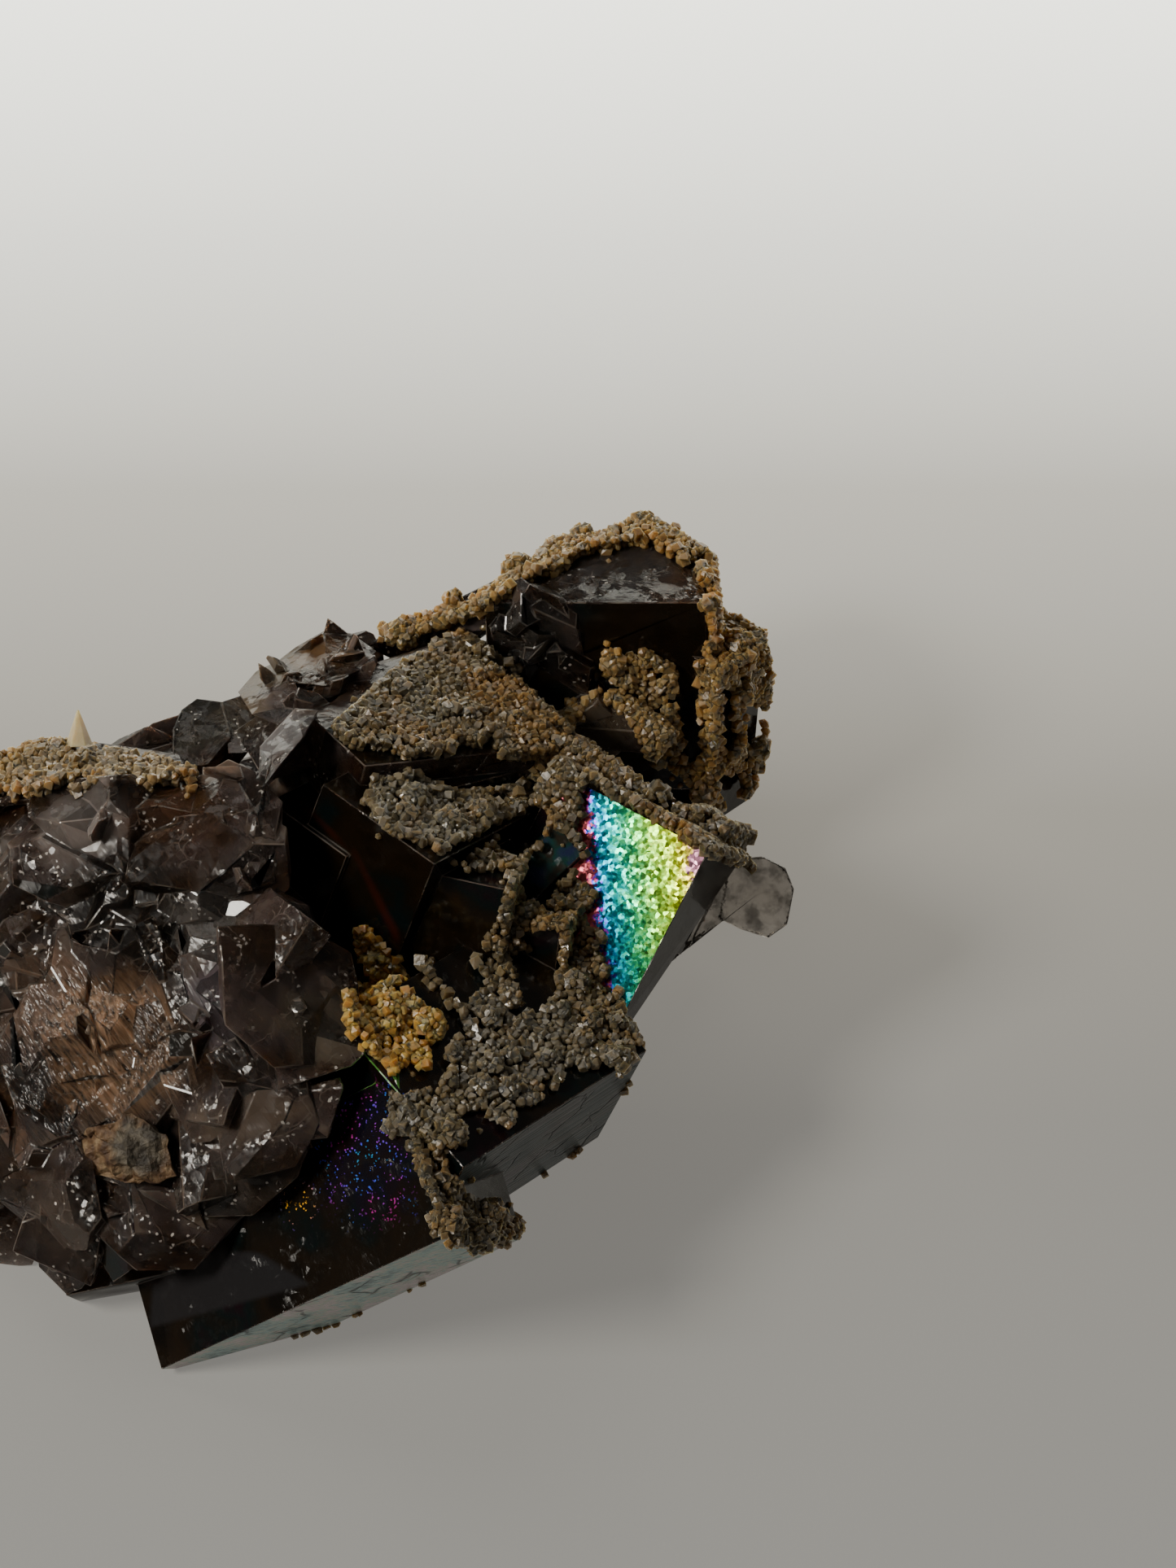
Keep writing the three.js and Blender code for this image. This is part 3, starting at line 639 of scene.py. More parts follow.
def streaked_sheen(finish, tone, lines, split):
    """The grey sheen of a finely streaked face: its own teal-grey, made lighter or darker by its tone as a
    painted reflection, and dark along the lines where it is split.
    """
    sheen = finish.ramp(finish.clouds(6.0) + (lines - 0.5) * 0.9, *SHEEN_COLOURS)
    return finish.scaled(sheen, (0.4 + tone * 1.6) * (1 - split * 0.85))


def grown_fluorite(finish, clouded):
    """The shader of grown faces: dark, streaked or iridescent."""
    flash = finish.attribute("flash")
    streaked = finish.attribute("streaked")
    lines = finish.streaks(cube_axes("right")[0], STREAK_LENGTH, 0.3)
    split = finish.cracks(5.0, 0.22) * streaked
    sheen = streaked_sheen(finish, finish.attribute("tone"), lines, split)
    share = flash_share(finish)
    flash = flash * finish.step(share, -0.25, -0.20)
    colour = finish.mix(streaked, grown_colour(finish, clouded), sheen)
    colour = finish.mix(flash, colour, flash_colour(finish, share))
    streak_relief = (lines * 0.25 - split * 0.3) * streaked
    grain_relief = finish.chips(FLASH_GRAIN_SIZE) * 0.5 * flash
    normal = finish.bump(streak_relief + grain_relief + finish.clouds(3.0, 2.0) * 0.03)
    shader = finish.principled(
        Base_Color=colour, Roughness=0.10 + flash * 0.25 + streaked * 0.22, IOR=FLUORITE_IOR, Normal=normal,
        Metallic=flash + streaked * 0.25)
    return shader, flash, streaked


def cleaved_fluorite(finish, spots, clouded):
    """The shaders of cleaved fluorite, milky and clear, with small breaks and pale dots of painted sparkle
    highlight.
    """
    ragged = (finish.clouds(2.0, 1.0) - 0.5) * 4
    feathered, frosted = 0.0, 0.0
    if clouded:
        feathered = finish.near(seen(FEATHERED_SPOT[0])[0], FEATHERED_SPOT[1], ragged)
        frosted = finish.near(seen(FROSTED_SPOT[0])[0], FROSTED_SPOT[1], ragged)
    fibres = (finish.streaks(FEATHER_RUN, FIBRE_LENGTH, 0.35) - 0.5) * (feathered * 0.9 + 0.1)
    crushed = finish.step(finish.clouds(3.0, 1.0) + frosted * 0.12, 0.48, 0.60)
    chips = finish.chips(CHIP_SIZE) * 0.22 + finish.chips(CRUSHED_CHIP_SIZE) * crushed * 0.4
    normal = finish.bump(chips + finish.clouds(1.3, 1.0) * 0.08 + fibres * 0.35)
    # Painted sparkle highlights: pale metallic dots where crushed parts would glint
    painted_sparkles = finish.step(finish.speckle(PAINTED_SPARKLE_SIZE) + frosted * 0.02, 0.965, 0.975) * crushed
    colour = cleaved_colour(finish, finish.attribute("tone"), finish.attribute("edge"), spots, fibres)
    milky = finish.principled(
        Base_Color=finish.mix(painted_sparkles, colour, PAINTED_SPARKLE_COLOUR), Roughness=0.32 + painted_sparkles * 0.3, IOR=FLUORITE_IOR,
        Specular_IOR_Level=0.2, Metallic=painted_sparkles, Normal=normal, Subsurface_Weight=1.0,
        Subsurface_Radius=(1.0, 0.8, 0.7), Subsurface_Scale=1.6 * MM)
    clear = finish.principled(
        Base_Color=(0.90, 0.82, 0.76), Roughness=0.18, IOR=FLUORITE_IOR, Specular_IOR_Level=0.3,
        Transmission_Weight=1.0, Normal=normal)
    return milky, clear


def smoky_fluorite(name, clarity, spots, clouded=False):
    """Smoky fluorite: glassy, dark on its grown faces, and milky in many tones where it is cleaved."""
    finish = Finish(name)
    broken = finish.attribute("broken")
    grown, flash, streaked = grown_fluorite(finish, clouded)
    milky, clear = cleaved_fluorite(finish, spots, clouded)
    body = finish.node("MixShader", None, {0: broken, 1: grown, 2: milky})
    closed = 0.85 - broken * 0.30 + flash * 0.15 + streaked * 0.15
    surface = finish.node("MixShader", None, {0: closed, 1: clear, 2: body})
    volume = finish.node("VolumeAbsorption", None, {"Color": clarity, "Density": SMOKY_DENSITY})
    return finish.output(surface, volume)


def clear_fluorite():
    """Grey see-through fluorite with small breaks."""
    finish = Finish("clear_fluorite")
    normal = finish.bump(finish.chips(1.4) * 0.25 + finish.clouds(0.6) * 0.06)
    glass = finish.principled(Base_Color=(0.92, 0.91, 0.92), Roughness=0.08, IOR=FLUORITE_IOR,
                              Transmission_Weight=1.0, Normal=normal)
    milk = finish.principled(Base_Color=finish.ramp(finish.clouds(2.0), *MILK_COLOURS), Roughness=0.25,
                             IOR=FLUORITE_IOR, Normal=normal)
    milky = finish.step(finish.clouds(1.6), 0.45, 0.7) * 0.6
    surface = finish.node("MixShader", None, {0: milky, 1: glass, 2: milk})
    volume = finish.node("VolumeAbsorption", None, {"Color": CLEAR_TINT, "Density": CLEAR_DENSITY})
    return finish.output(surface, volume)


# The palest, the deepest and the stained colour of each calcite, but for the front crust's first two
FRONT_STAIN = (0.20, 0.105, 0.034)
BROWNED_COLOURS = ((0.34, 0.215, 0.080), (0.18, 0.105, 0.035), (0.32, 0.14, 0.025))
OCHRE_COLOURS = ((0.58, 0.36, 0.11), (0.34, 0.15, 0.02), (0.50, 0.22, 0.015))
SPIKE_COLOURS = ((0.62, 0.52, 0.34), (0.50, 0.40, 0.22), (0.50, 0.36, 0.16))

CRUST_SPOTS = (
    # pixel, radius in millimetres, colour
    ((480, 860), 6.0, (0.110, 0.088, 0.050)),
    ((520, 1000), 5.5, (0.170, 0.145, 0.096)),
    ((640, 1300), 8.5, (0.145, 0.120, 0.080)),
    ((480, 1360), 4.0, (0.120, 0.098, 0.062)),
    ((545, 785), 3.5, (0.230, 0.125, 0.036)),
    ((620, 850), 4.0, (0.230, 0.120, 0.034)),
    ((665, 900), 4.0, (0.220, 0.125, 0.040)),
    ((740, 950), 4.0, (0.200, 0.120, 0.045)),
    ((820, 1010), 3.5, (0.220, 0.120, 0.036)),
    ((700, 1140), 4.5, (0.200, 0.125, 0.050)),
)
REAR_CRUST_SPOTS = (
    ((868, 760), 5.0, (0.34, 0.165, 0.040)),
    ((800, 890), 4.5, (0.26, 0.165, 0.065)),
    ((860, 960), 4.0, (0.30, 0.160, 0.045)),
    ((150, 935), 11.0, (0.17, 0.125, 0.066)),
)


def calcite(name, pale, deep, stain, spots=()):
    """Sugary calcite: each grain has its own tone, and iron stains whole patches of them."""
    finish = Finish(name)
    tone = finish.attribute("tone")
    colour = finish.mix(tone, tuple(deep), tuple(pale))
    ragged = (finish.clouds(1.5) - 0.5) * 5
    for pixel, radius, spot in spots:
        zone = finish.near(seen(pixel, WHOLE)[0], radius, ragged)
        colour = finish.mix(zone * 0.8, colour, finish.scaled(spot, 0.6 + tone * 0.6))
    stained = finish.step(finish.clouds(5.0, 3.0) + (tone - 0.5) * 0.15, 0.52, 0.68) * 0.4
    colour = finish.mix(stained, colour, finish.scaled(stain, 0.6 + tone * 0.8))
    normal = finish.bump(finish.clouds(0.3, 2.0) * 0.06)
    surface = finish.principled(
        Base_Color=colour, Roughness=0.38 - finish.step(tone, 0.85, 0.95) * 0.28, IOR=CALCITE_IOR,
        Normal=normal, Subsurface_Weight=1.0, Subsurface_Radius=(1.0, 0.8, 0.5),
        Subsurface_Scale=1.8 * MM)
    return finish.output(surface)


ROCK_PIXEL = (165, 1410)
ROCK_ROOM = 70
ROCK_LUMP_SIZE = 1.4 * MM
ROCK_LUMP_HEIGHT = 1.8 * MM
ROCK_RIM_COLOURS = ((0.35, (0.05, 0.022, 0.008)), (0.50, (0.12, 0.064, 0.026)), (0.65, (0.24, 0.165, 0.09)))
ROCK_CORE_COLOURS = ((0.35, (0.018, 0.013, 0.008)), (0.50, (0.050, 0.040, 0.027)), (0.65, (0.12, 0.10, 0.07)))


def host_rock():
    """Rough grey-brown rock with an ochre rim."""
    finish = Finish("host_rock")
    centre = finish.near(seen(ROCK_PIXEL, WHOLE)[0], 3.0, (finish.clouds(1.5) - 0.5) * 3)
    mottled = finish.clouds(1.2, 6.0)
    rim = finish.ramp(mottled, *ROCK_RIM_COLOURS)
    core = finish.ramp(mottled, *ROCK_CORE_COLOURS)
    colour = finish.mix(centre, rim, core)
    normal = finish.bump(finish.clouds(0.5, 5.0) * 0.35)
    return finish.output(finish.principled(Base_Color=colour, Roughness=0.6, Normal=normal))


PAPER_FRONT = -60.0  # millimetres from the specimen's middle, towards the viewer and away
PAPER_BACK = 130.0
# Painted light of the floor's glow, dim near the viewer and bright far from it
PAINTED_FLOOR_GLOW_COLOURS = (
    (0.00, (0.195, 0.190, 0.178)), (0.25, (0.210, 0.200, 0.182)), (0.43, (0.295, 0.275, 0.235)),
    (0.63, (0.64, 0.61, 0.53)), (0.80, (1.5, 1.48, 1.32)), (1.00, (2.8, 2.8, 2.5)),
)


def paper():
    """The paper of the floor, glowing with painted light that is brighter away from the viewer."""
    finish = Finish("paper")
    back = finish.node("SeparateXYZ", None, {"Vector": finish.place}, output="Y")
    share = (back - PAPER_FRONT) / (PAPER_BACK - PAPER_FRONT)
    colour = finish.ramp(share, *PAINTED_FLOOR_GLOW_COLOURS)
    fibres = finish.bump(finish.clouds(0.4, 4.0) * 0.01)
    return finish.output(finish.principled(Base_Color=(0.16, 0.16, 0.15), Roughness=0.85, Normal=fibres,
                                           Emission_Color=colour, Emission_Strength=1.0))


# Marks on the fluorite's faces, which its finish reads

# A streaked face's tone sets how bright its painted sheen is, standing for how much of the pale floor it
# reflects
STREAKED_FACES = (((650, 1440), 0.0), ((420, 1610), 1.7))  # a pixel that shows each, and its tone
FLASH_PIXEL = (800, 1090)
STRIP_WIDTH = 0.16 * MM
SAME_PLANE = 0.25 * MM
SAME_TURN = math.cos(math.radians(2.5))


def is_on(face, pixel_hit):
    """Whether a face lies on the plane that a pixel of the photograph shows."""
    place, normal = pixel_hit
    return face.normal.dot(normal) > SAME_TURN and abs((face.center - place).dot(normal)) < SAME_PLANE


def is_strip(mesh, face):
    """Whether a face is one of the narrow faces along a worn edge."""
    corners = [mesh.vertices[i].co for i in face.vertices]
    longest = max((a - b).length for a, b in zip(corners, corners[1:] + corners[:1]))
    return face.area / longest < STRIP_WIDTH


def mark_faces(piece, seed):
    """Marks each face as broken, streaked, iridescent or worn, and gives it a tone: a random one of its own,
    or for a streaked face the listed brightness of its painted sheen.
    """
    source = random.Random(seed)
    grown = [axis for lie in CUBE_LIES if lie != "wedge" for axis in cube_axes(lie)]
    streaked = [(seen(pixel), tone) for pixel, tone in STREAKED_FACES]
    flash = seen(FLASH_PIXEL)
    marks = {"broken": [], "streaked": [], "flash": [], "tone": [], "edge": []}
    for face in piece.data.polygons:
        is_grown = any(abs(face.normal.dot(axis)) > SAME_TURN for axis in grown)
        is_flash = is_on(face, flash)
        marks["broken"].append(0.0 if is_grown or is_flash else 1.0)
        streaked_tones = [tone for hit, tone in streaked if is_on(face, hit)]
        marks["streaked"].append(float(bool(streaked_tones)))
        marks["flash"].append(float(is_flash))
        # A streaked face takes its listed tone, the brightness of its painted sheen
        marks["tone"].append(streaked_tones[0] if streaked_tones else source.random())
        marks["edge"].append(float(is_strip(piece.data, face)))
    for name, values in marks.items():
        piece.data.attributes.new(name, "FLOAT", "FACE").data.foreach_set("value", values)


# The cleaved mass: outlines of where its fragments show, in pixels of the photograph

CLEAVED_OUTLINE = (
    (10, 1020), (120, 1010), (220, 1010), (270, 950), (295, 940), (275, 1010), (305, 1100), (350, 1180),
    (375, 1270), (325, 1350), (270, 1400), (200, 1470), (160, 1520), (100, 1540), (40, 1480), (10, 1390),
)

# Where small clear lumps show behind the mass
LUMPS_OUTLINE = ((285, 880), (300, 810), (380, 765), (455, 780), (445, 820), (360, 885))
# Glassy breaks at the left of the cubes behind, and the crystal corner that stands out of their crust
REAR_OUTLINE = ((605, 800), (640, 735), (695, 735), (700, 820), (650, 850))
WEDGE_PIXEL = (735, 862)
WEDGE_REACH = 2.9 * MM
HIDDEN_DEPTH = 8 * MM


def is_inside(pixel, outline):
    inside = False
    x, y = pixel
    for (xa, ya), (xb, yb) in zip(outline, outline[1:] + outline[:1]):
        if (ya > y) != (yb > y) and x < (xb - xa) * (y - ya) / (yb - ya) + xa:
            inside = not inside
    return inside


def visible_sites(outline, count, source):
    """Places on the fluorite inside an outline of the photograph, with their normals."""
    sites = []
    while len(sites) < count:
        pixel = (source.uniform(min(x for x, _ in outline), max(x for x, _ in outline)),
                 source.uniform(min(y for _, y in outline), max(y for _, y in outline)))
        place, normal = look(pixel)
        if is_inside(pixel, outline) and place is not None and math.dist(pixel, ROCK_PIXEL) > ROCK_ROOM:
            sites.append((place, normal))
    return sites


NEARBY_PIXELS = 45
PLATE_SPACING = 3.3 * MM
PLATE_WIDTHS = (3.0 * MM, 6.5 * MM)
PLATE_DEPTHS = (1.6 * MM, 2.4 * MM)
PLATE_PROUD = 0.6 * MM
PLATE_TILT = math.radians(21)

# Reaches of a fragment's cuts: lower ones cut more off
SHARD_REACHES = (0.45, 0.95)
PLATE_REACHES = (0.68, 1.1)
REAR_REACHES = (0.55, 0.95)
WEDGE_REACHES = (1.5, 1.65)
SHAPE_COUNT = 12
REAR_SHAPE_COUNT = 6
PLATE_TRIES = 700
REAR_FRAGMENTS = 9

# Widths of the fragments, and how far each kind may stand out or, for the notches, go in
RAISED = ((0.9 * MM, 2.2 * MM), 0.9 * MM)
LUMPS = ((0.9 * MM, 1.9 * MM), 0.2 * MM)
HIDDEN = ((2.5 * MM, 4.0 * MM), 0.6 * MM)
NOTCHES = ((1.0 * MM, 1.8 * MM), 0.8 * MM)
NOTCH_DEPTH = 1.2 * MM
REAR_BREAKS = ((2.0 * MM, 3.6 * MM), 0.3 * MM)

# Edges that are worn: their least angle and least length
WORN_ANGLE = math.radians(25)
WORN_LENGTH = 1.2 * MM


def level_sites(outline, count, source):
    """Visible places inside an outline, moved out of narrow gaps to the level of what is round them."""
    sites = []
    for place, normal in visible_sites(outline, count, source):
        x, y = pixel_of(place)
        around = [look((x + dx, y + dy)) for dx in (-NEARBY_PIXELS, 0, NEARBY_PIXELS)
                  for dy in (-NEARBY_PIXELS, 0, NEARBY_PIXELS)]
        around = sorted((hit for hit in around if hit[0] is not None), key=lambda hit: OUT.dot(hit[0]))
        level = OUT.dot(around[2 * len(around) // 3][0])
        sight = (place - EYE).normalized()
        normal = sum((hit[1] for hit in around), Vector()).normalized()
        sites.append((place + sight * ((level - OUT.dot(place)) / OUT.dot(sight)), normal))
    return [sites[i] for i in spaced([place for place, _ in sites], PLATE_SPACING)]


def plate_turn(normal, source):
    """A turn that lays a fragment on a surface, with a little tilt to any side."""
    first, second = (Matrix.Rotation(source.uniform(0, 2 * math.pi), 3, "Z") for _ in range(2))
    lean = Matrix.Rotation(source.uniform(0.1, 1) * PLATE_TILT, 3, "X")
    return normal.to_track_quat("Z", "Y").to_matrix() @ first @ lean @ second


def plates_at(sites, shapes, source):
    """Broad fragments that lie along the surface at some sites, each a little higher or lower."""
    plates = []
    for place, normal in sites:
        scale = [source.uniform(*PLATE_WIDTHS), source.uniform(*PLATE_WIDTHS), source.uniform(*PLATE_DEPTHS)]
        centre = place - normal * (scale[2] - source.uniform(0, 1) * PLATE_PROUD)
        plates.append(placed_shard(source.choice(shapes), centre, plate_turn(normal, source), scale))
    return plates


def hidden_sites(node, count, source):
    """Places on the fluorite's sides and back, well above the plane that it rests on, with their normals."""
    rng = np.random.default_rng(source.randrange(1 << 30))
    places, normals = surface_samples(node, 1.0, rng)
    sites = [(Vector(p), Vector(n)) for p, n in zip(places, normals)
             if OUT.dot(Vector(n)) < 0.1 and n[2] > -0.4 and p[2] > 5 * MM and is_hidden(Vector(p))]
    return source.sample(sites, min(count, len(sites)))


def is_hidden(place):
    """Whether the specimen's own front hides a place by a good margin, seen from the photograph's side."""
    front = FLUORITE.ray_cast(EYE, (place - EYE).normalized())[0]
    return front is not None and (front - place).length > HIDDEN_DEPTH


def shards_at(sites, shapes, sizes, proud, source):
    """Shards set into a surface at some sites, each standing out of it by at most proud metres."""
    shards = []
    for place, normal in sites:
        scale = [source.uniform(*sizes) * source.uniform(0.7, 1.2) for _ in range(3)]
        centre = place - normal * (0.65 * min(scale) - source.uniform(0.3, 1.0) * proud)
        shards.append(placed_shard(source.choice(shapes), centre, random_turn(source), scale))
    return shards


def corner_cube(pixel, reach):
    """A worn cube with a corner where a pixel shows the specimen, and its middle below that."""
    a, b, front = cube_axes("wedge")
    centre = seen(pixel, WHOLE)[0] + (a + b - front) * reach
    cube = shard_shapes(1, WEDGE_REACHES, 34)[0]
    return placed_shard(cube, centre, Matrix((a, b, front)).transposed(), [reach] * 3)


# Grains

def grain_shapes(seed):
    """Grains about 1 in radius, as arrays of points and triangles: rounded crystals and blunt rhombs."""
    source = random.Random(seed)
    shapes = []
    for i in range(8):
        deselect_all()
        if i % 2:
            bpy.ops.mesh.primitive_ico_sphere_add(subdivisions=1, radius=1)
            cuts, reach = 1, 0.7
        else:
            bpy.ops.mesh.primitive_cube_add(size=1.5)
            cuts, reach = 3, 0.8
        bpy.ops.object.mode_set(mode="EDIT")
        for _ in range(cuts):
            normal = random_direction(source)
            bpy.ops.mesh.select_all(action="SELECT")
            bpy.ops.mesh.bisect(plane_co=normal * reach, plane_no=normal, use_fill=True, clear_outer=True)
        bpy.ops.mesh.select_all(action="SELECT")
        bpy.ops.transform.vertex_random(offset=0.1, seed=i + 1)
        bpy.ops.mesh.quads_convert_to_tris()
        bpy.ops.object.mode_set(mode="OBJECT")
        mesh = bpy.context.object.data
        points = np.array([vertex.co for vertex in mesh.vertices])
        triangles = np.array([list(face.vertices) for face in mesh.polygons])
        shapes.append((points, triangles))
        bpy.data.objects.remove(bpy.context.object)
    return shapes


def surface_samples(node, per_square_mm, rng):
    """Random places on a frame node's surface and the normals there."""
    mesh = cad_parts[node].data
    mesh.calc_loop_triangles()
    corners = np.array([[mesh.vertices[i].co for i in triangle.vertices]
                        for triangle in mesh.loop_triangles])
    sides = corners[:, 1:] - corners[:, :1]
    cross = np.cross(sides[:, 0], sides[:, 1])
    areas = np.linalg.norm(cross, axis=1) / 2
    count = int(areas.sum() / MM**2 * per_square_mm)
    picks = rng.choice(len(areas), count, p=areas / areas.sum())
    shares = rng.random((count, 2))
    over = shares.sum(axis=1) > 1
    shares[over] = 1 - shares[over]
    places = corners[picks, 0] + (sides[picks] * shares[:, :, None]).sum(axis=1)
    return places, cross[picks] / (2 * areas[picks])[:, None]


def spaced(places, spacing):
    """Indices of places that keep a distance from each other, found in order."""
    cells, kept = {}, []
    for i, place in enumerate(places):
        cell = tuple(int(x // spacing) for x in place)
        around = (kept_place for dx in (-1, 0, 1) for dy in (-1, 0, 1) for dz in (-1, 0, 1)
                  for kept_place in cells.get((cell[0] + dx, cell[1] + dy, cell[2] + dz), ()))
        if all(math.dist(place, other) >= spacing for other in around):
            cells.setdefault(cell, []).append(place)
            kept.append(i)
    return kept


# Where dark crystal shows through the crust, in pixels of the photograph
BARE_OUTLINES = {
    "calcite_crust_front": (
        ((655, 1040), (690, 1018), (718, 1052), (665, 1112), (640, 1085)),
        ((640, 1150), (690, 1140), (685, 1215), (655, 1250)),
    ),
    "calcite_crust_rear": (
        ((680, 905), (735, 852), (765, 875), (790, 925), (830, 985), (850, 1008), (800, 1000), (740, 955),
         (690, 925)),
        ((830, 835), (856, 830), (862, 930), (845, 945), (835, 900)),
        ((882, 845), (900, 850), (908, 930), (893, 925)),
        ((915, 862), (948, 872), (935, 908), (918, 915)),
        ((885, 955), (915, 950), (915, 995), (888, 990)),
    ),
}
# Columns of the photograph where a grain hangs at the specimen's lower edge
BEAD_COLUMNS = (362, 374, 389, 401, 413, 437, 441, 503, 518, 668, 702, 709, 766, 772)
GRAIN_SINK = 0.6  # how much of a grain's radius is below the surface it is set in
OUTER_SPREAD = 14.0  # candidate places per square millimetre, before they are spaced
RIM_STEP = 1.3 * MM
RIM_BARE = 0.3  # the least bare share at a crust's rim
RIM_NOISE_SIZE = 1.8 * MM
RIM_NOISE_CUT = 0.25  # where the noise is above this, the rim has no grains
STRAY_CHANCE = 0.04
DEEP_CRUST = 0.9 * MM  # crust thicker than this has a second layer of grains
LAYER_STEP = 0.55 * MM


def rim_share(place, crust):
    """How much of what is round a place, seen from the viewer, is bare of a crust: 0 inside the crust."""
    bare = 0
    for i in range(6):
        turn = math.pi * i / 3
        start = place + (RIGHT * math.cos(turn) + UP_FACE * math.sin(turn)) * RIM_STEP + OUT * 0.05
        bare += crust.ray_cast(start, -OUT, 0.06)[0] is None
    return bare / 6


def crust_grains(node, size, spacing, source):
    """Places and radii of the grains that fill a crust node out to its tips."""
    rng = np.random.default_rng(source.randrange(1 << 30))
    places, normals = surface_samples(node, OUTER_SPREAD, rng)
    crust = surface_of(node)
    grains = []
    for i in spaced(places, spacing):
        place, normal = Vector(places[i]), Vector(normals[i])
        if FLUORITE.ray_cast(place + normal * 0.05 * MM, normal, 0.6 * MM)[0] is not None:
            continue
        bare = rim_share(place, crust)
        if bare > RIM_BARE and noise.noise(place / RIM_NOISE_SIZE) > RIM_NOISE_CUT:
            continue
        if any(is_inside(pixel_of(place), outline) for outline in BARE_OUTLINES.get(node, ())):
            continue
        radius = size / 2 * source.uniform(0.7, 1.25)
        grains.append((place - normal * radius * GRAIN_SINK, radius))
        below = FLUORITE.ray_cast(place, -normal, 3 * MM)[3]
        if below is not None and below > DEEP_CRUST:
            grains.append((place - normal * (radius * GRAIN_SINK + LAYER_STEP), radius))
        if bare > RIM_BARE and source.random() < STRAY_CHANCE:
            grains += stray_grain(place, radius, source)
    return grains


def beads(source):
    """Grains that hang at the lower edge of the front cubes."""
    grains = []
    for column in BEAD_COLUMNS:
        row = PHOTO_HEIGHT
        while look((column, row))[0] is None:
            row -= 2
        radius = source.uniform(0.35, 0.6) * MM
        centre = look((column, row))[0]
        centre.z = max(centre.z, radius)
        grains.append((centre, radius))
    return grains


def stray_grain(place, radius, source):
    """A grain on the bare fluorite just past a crust's rim, or nothing where there is none."""
    turn = source.uniform(0, 2 * math.pi)
    reach = source.uniform(0.6, 2.4) * MM
    start = place + (RIGHT * math.cos(turn) + UP_FACE * math.sin(turn)) * reach + OUT * 4 * MM
    spot, normal, _, _ = FLUORITE.ray_cast(start, -OUT, 7 * MM)
    if spot is None:
        return []
    radius *= source.uniform(0.6, 0.95)
    return [(spot + normal * radius * 0.35, radius)]


def grain_mesh(name, grains, source):
    """One mesh of many grains, each turned and stretched its own way, with a tone for its finish."""
    shapes = grain_shapes(source.randrange(1 << 30))
    vertices, faces, tones, first = [], [], [], 0
    for centre, radius in grains:
        points, triangles = source.choice(shapes)
        stretch = np.array([source.uniform(0.8, 1.2) for _ in range(3)]) * radius
        turned = (points * stretch) @ np.array(random_turn(source)).T + np.array(centre)
        vertices.append(turned)
        faces.append(triangles + first)
        tones += [source.random()] * len(points)
        first += len(points)
    mesh = bpy.data.meshes.new(name)
    mesh.from_pydata(np.concatenate(vertices).tolist(), [], np.concatenate(faces).tolist())
    mesh.attributes.new("tone", "FLOAT", "POINT").data.foreach_set("value", tones)
    return linked(name, mesh)


# Settings

class CrustSettings(bpy.types.PropertyGroup):
    """Size and colours of the calcite crust's grains."""

    grain: FloatProperty(name="Grain", description="Mean width of a grain", default=0.92 * MM, min=0.3 * MM,
                         max=2 * MM, unit="LENGTH")
    spacing: FloatProperty(name="Spacing", description="Least distance between the middles of two grains",
                           default=0.44 * MM, min=0.2 * MM, max=2 * MM, unit="LENGTH")
    pale: FloatVectorProperty(name="Pale", description="Colour of the palest grains",
                              default=(0.160, 0.120, 0.062), subtype="COLOR", min=0, max=1)
    deep: FloatVectorProperty(name="Deep", description="Colour of the deepest grains",
                              default=(0.085, 0.062, 0.029), subtype="COLOR", min=0, max=1)


class FluoriteSettings(bpy.types.PropertyGroup):
    """Breaks and clarity of the fluorite."""

    fragments: IntProperty(name="Fragments", description="Cleavage fragments that show in the broken mass",
                           default=45, min=0, max=600)
    wear: FloatProperty(name="Wear", description="Width of the worn edges", default=0.09 * MM, min=0,
                        max=0.5 * MM, unit="LENGTH")
    clarity: FloatVectorProperty(name="Clarity", description="Colour that light keeps inside the crystal",
                                 default=(0.44, 0.30, 0.20), subtype="COLOR", min=0, max=1)


# Operators

class SPECIMEN_OT_fluorite_cluster(bpy.types.Operator):
    """Makes the intergrown front cubes with their cleaved and broken side"""

    bl_idname = "specimen.fluorite_cluster"
    bl_label = "Fluorite cluster"

    def execute(self, context):
        settings = context.scene.fluorite_settings
        source = random.Random(21)
        cluster = merged_copy("fluorite_cluster", "fluorite_body")
        shapes = shard_shapes(SHAPE_COUNT, SHARD_REACHES, 22)
        sites = level_sites(CLEAVED_OUTLINE, PLATE_TRIES, source)
        plates = plates_at(sites, shard_shapes(SHAPE_COUNT, PLATE_REACHES, 24), source)
        raised = visible_sites(CLEAVED_OUTLINE, settings.fragments, source)
        lumps = visible_sites(LUMPS_OUTLINE, settings.fragments // 3, source)
        hidden = hidden_sites("fluorite_cluster", 2 * settings.fragments, source)
        cut = visible_sites(CLEAVED_OUTLINE, settings.fragments // 5, source)
        fragments = plates + shards_at(raised, shapes, *RAISED, source)
        fragments += shards_at(lumps, shapes, *LUMPS, source)
        fragments += shards_at(hidden, shapes, *HIDDEN, source)
        apply_boolean(cluster, combined(boxed(fragments)), "UNION")
        notches = [(place + normal * NOTCH_DEPTH, -normal) for place, normal in cut]
        apply_boolean(cluster, combined(shards_at(notches, shapes, *NOTCHES, source)), "DIFFERENCE")
        bevel_edges(cluster, settings.wear, WORN_ANGLE, WORN_LENGTH)
        mark_faces(cluster, 23)
        finish_piece(cluster, smoky_fluorite("smoky_fluorite", tuple(settings.clarity), CLEAVED_SPOTS, True),
                     "smoky_fluorite", "fluorite_cluster")
        return {"FINISHED"}


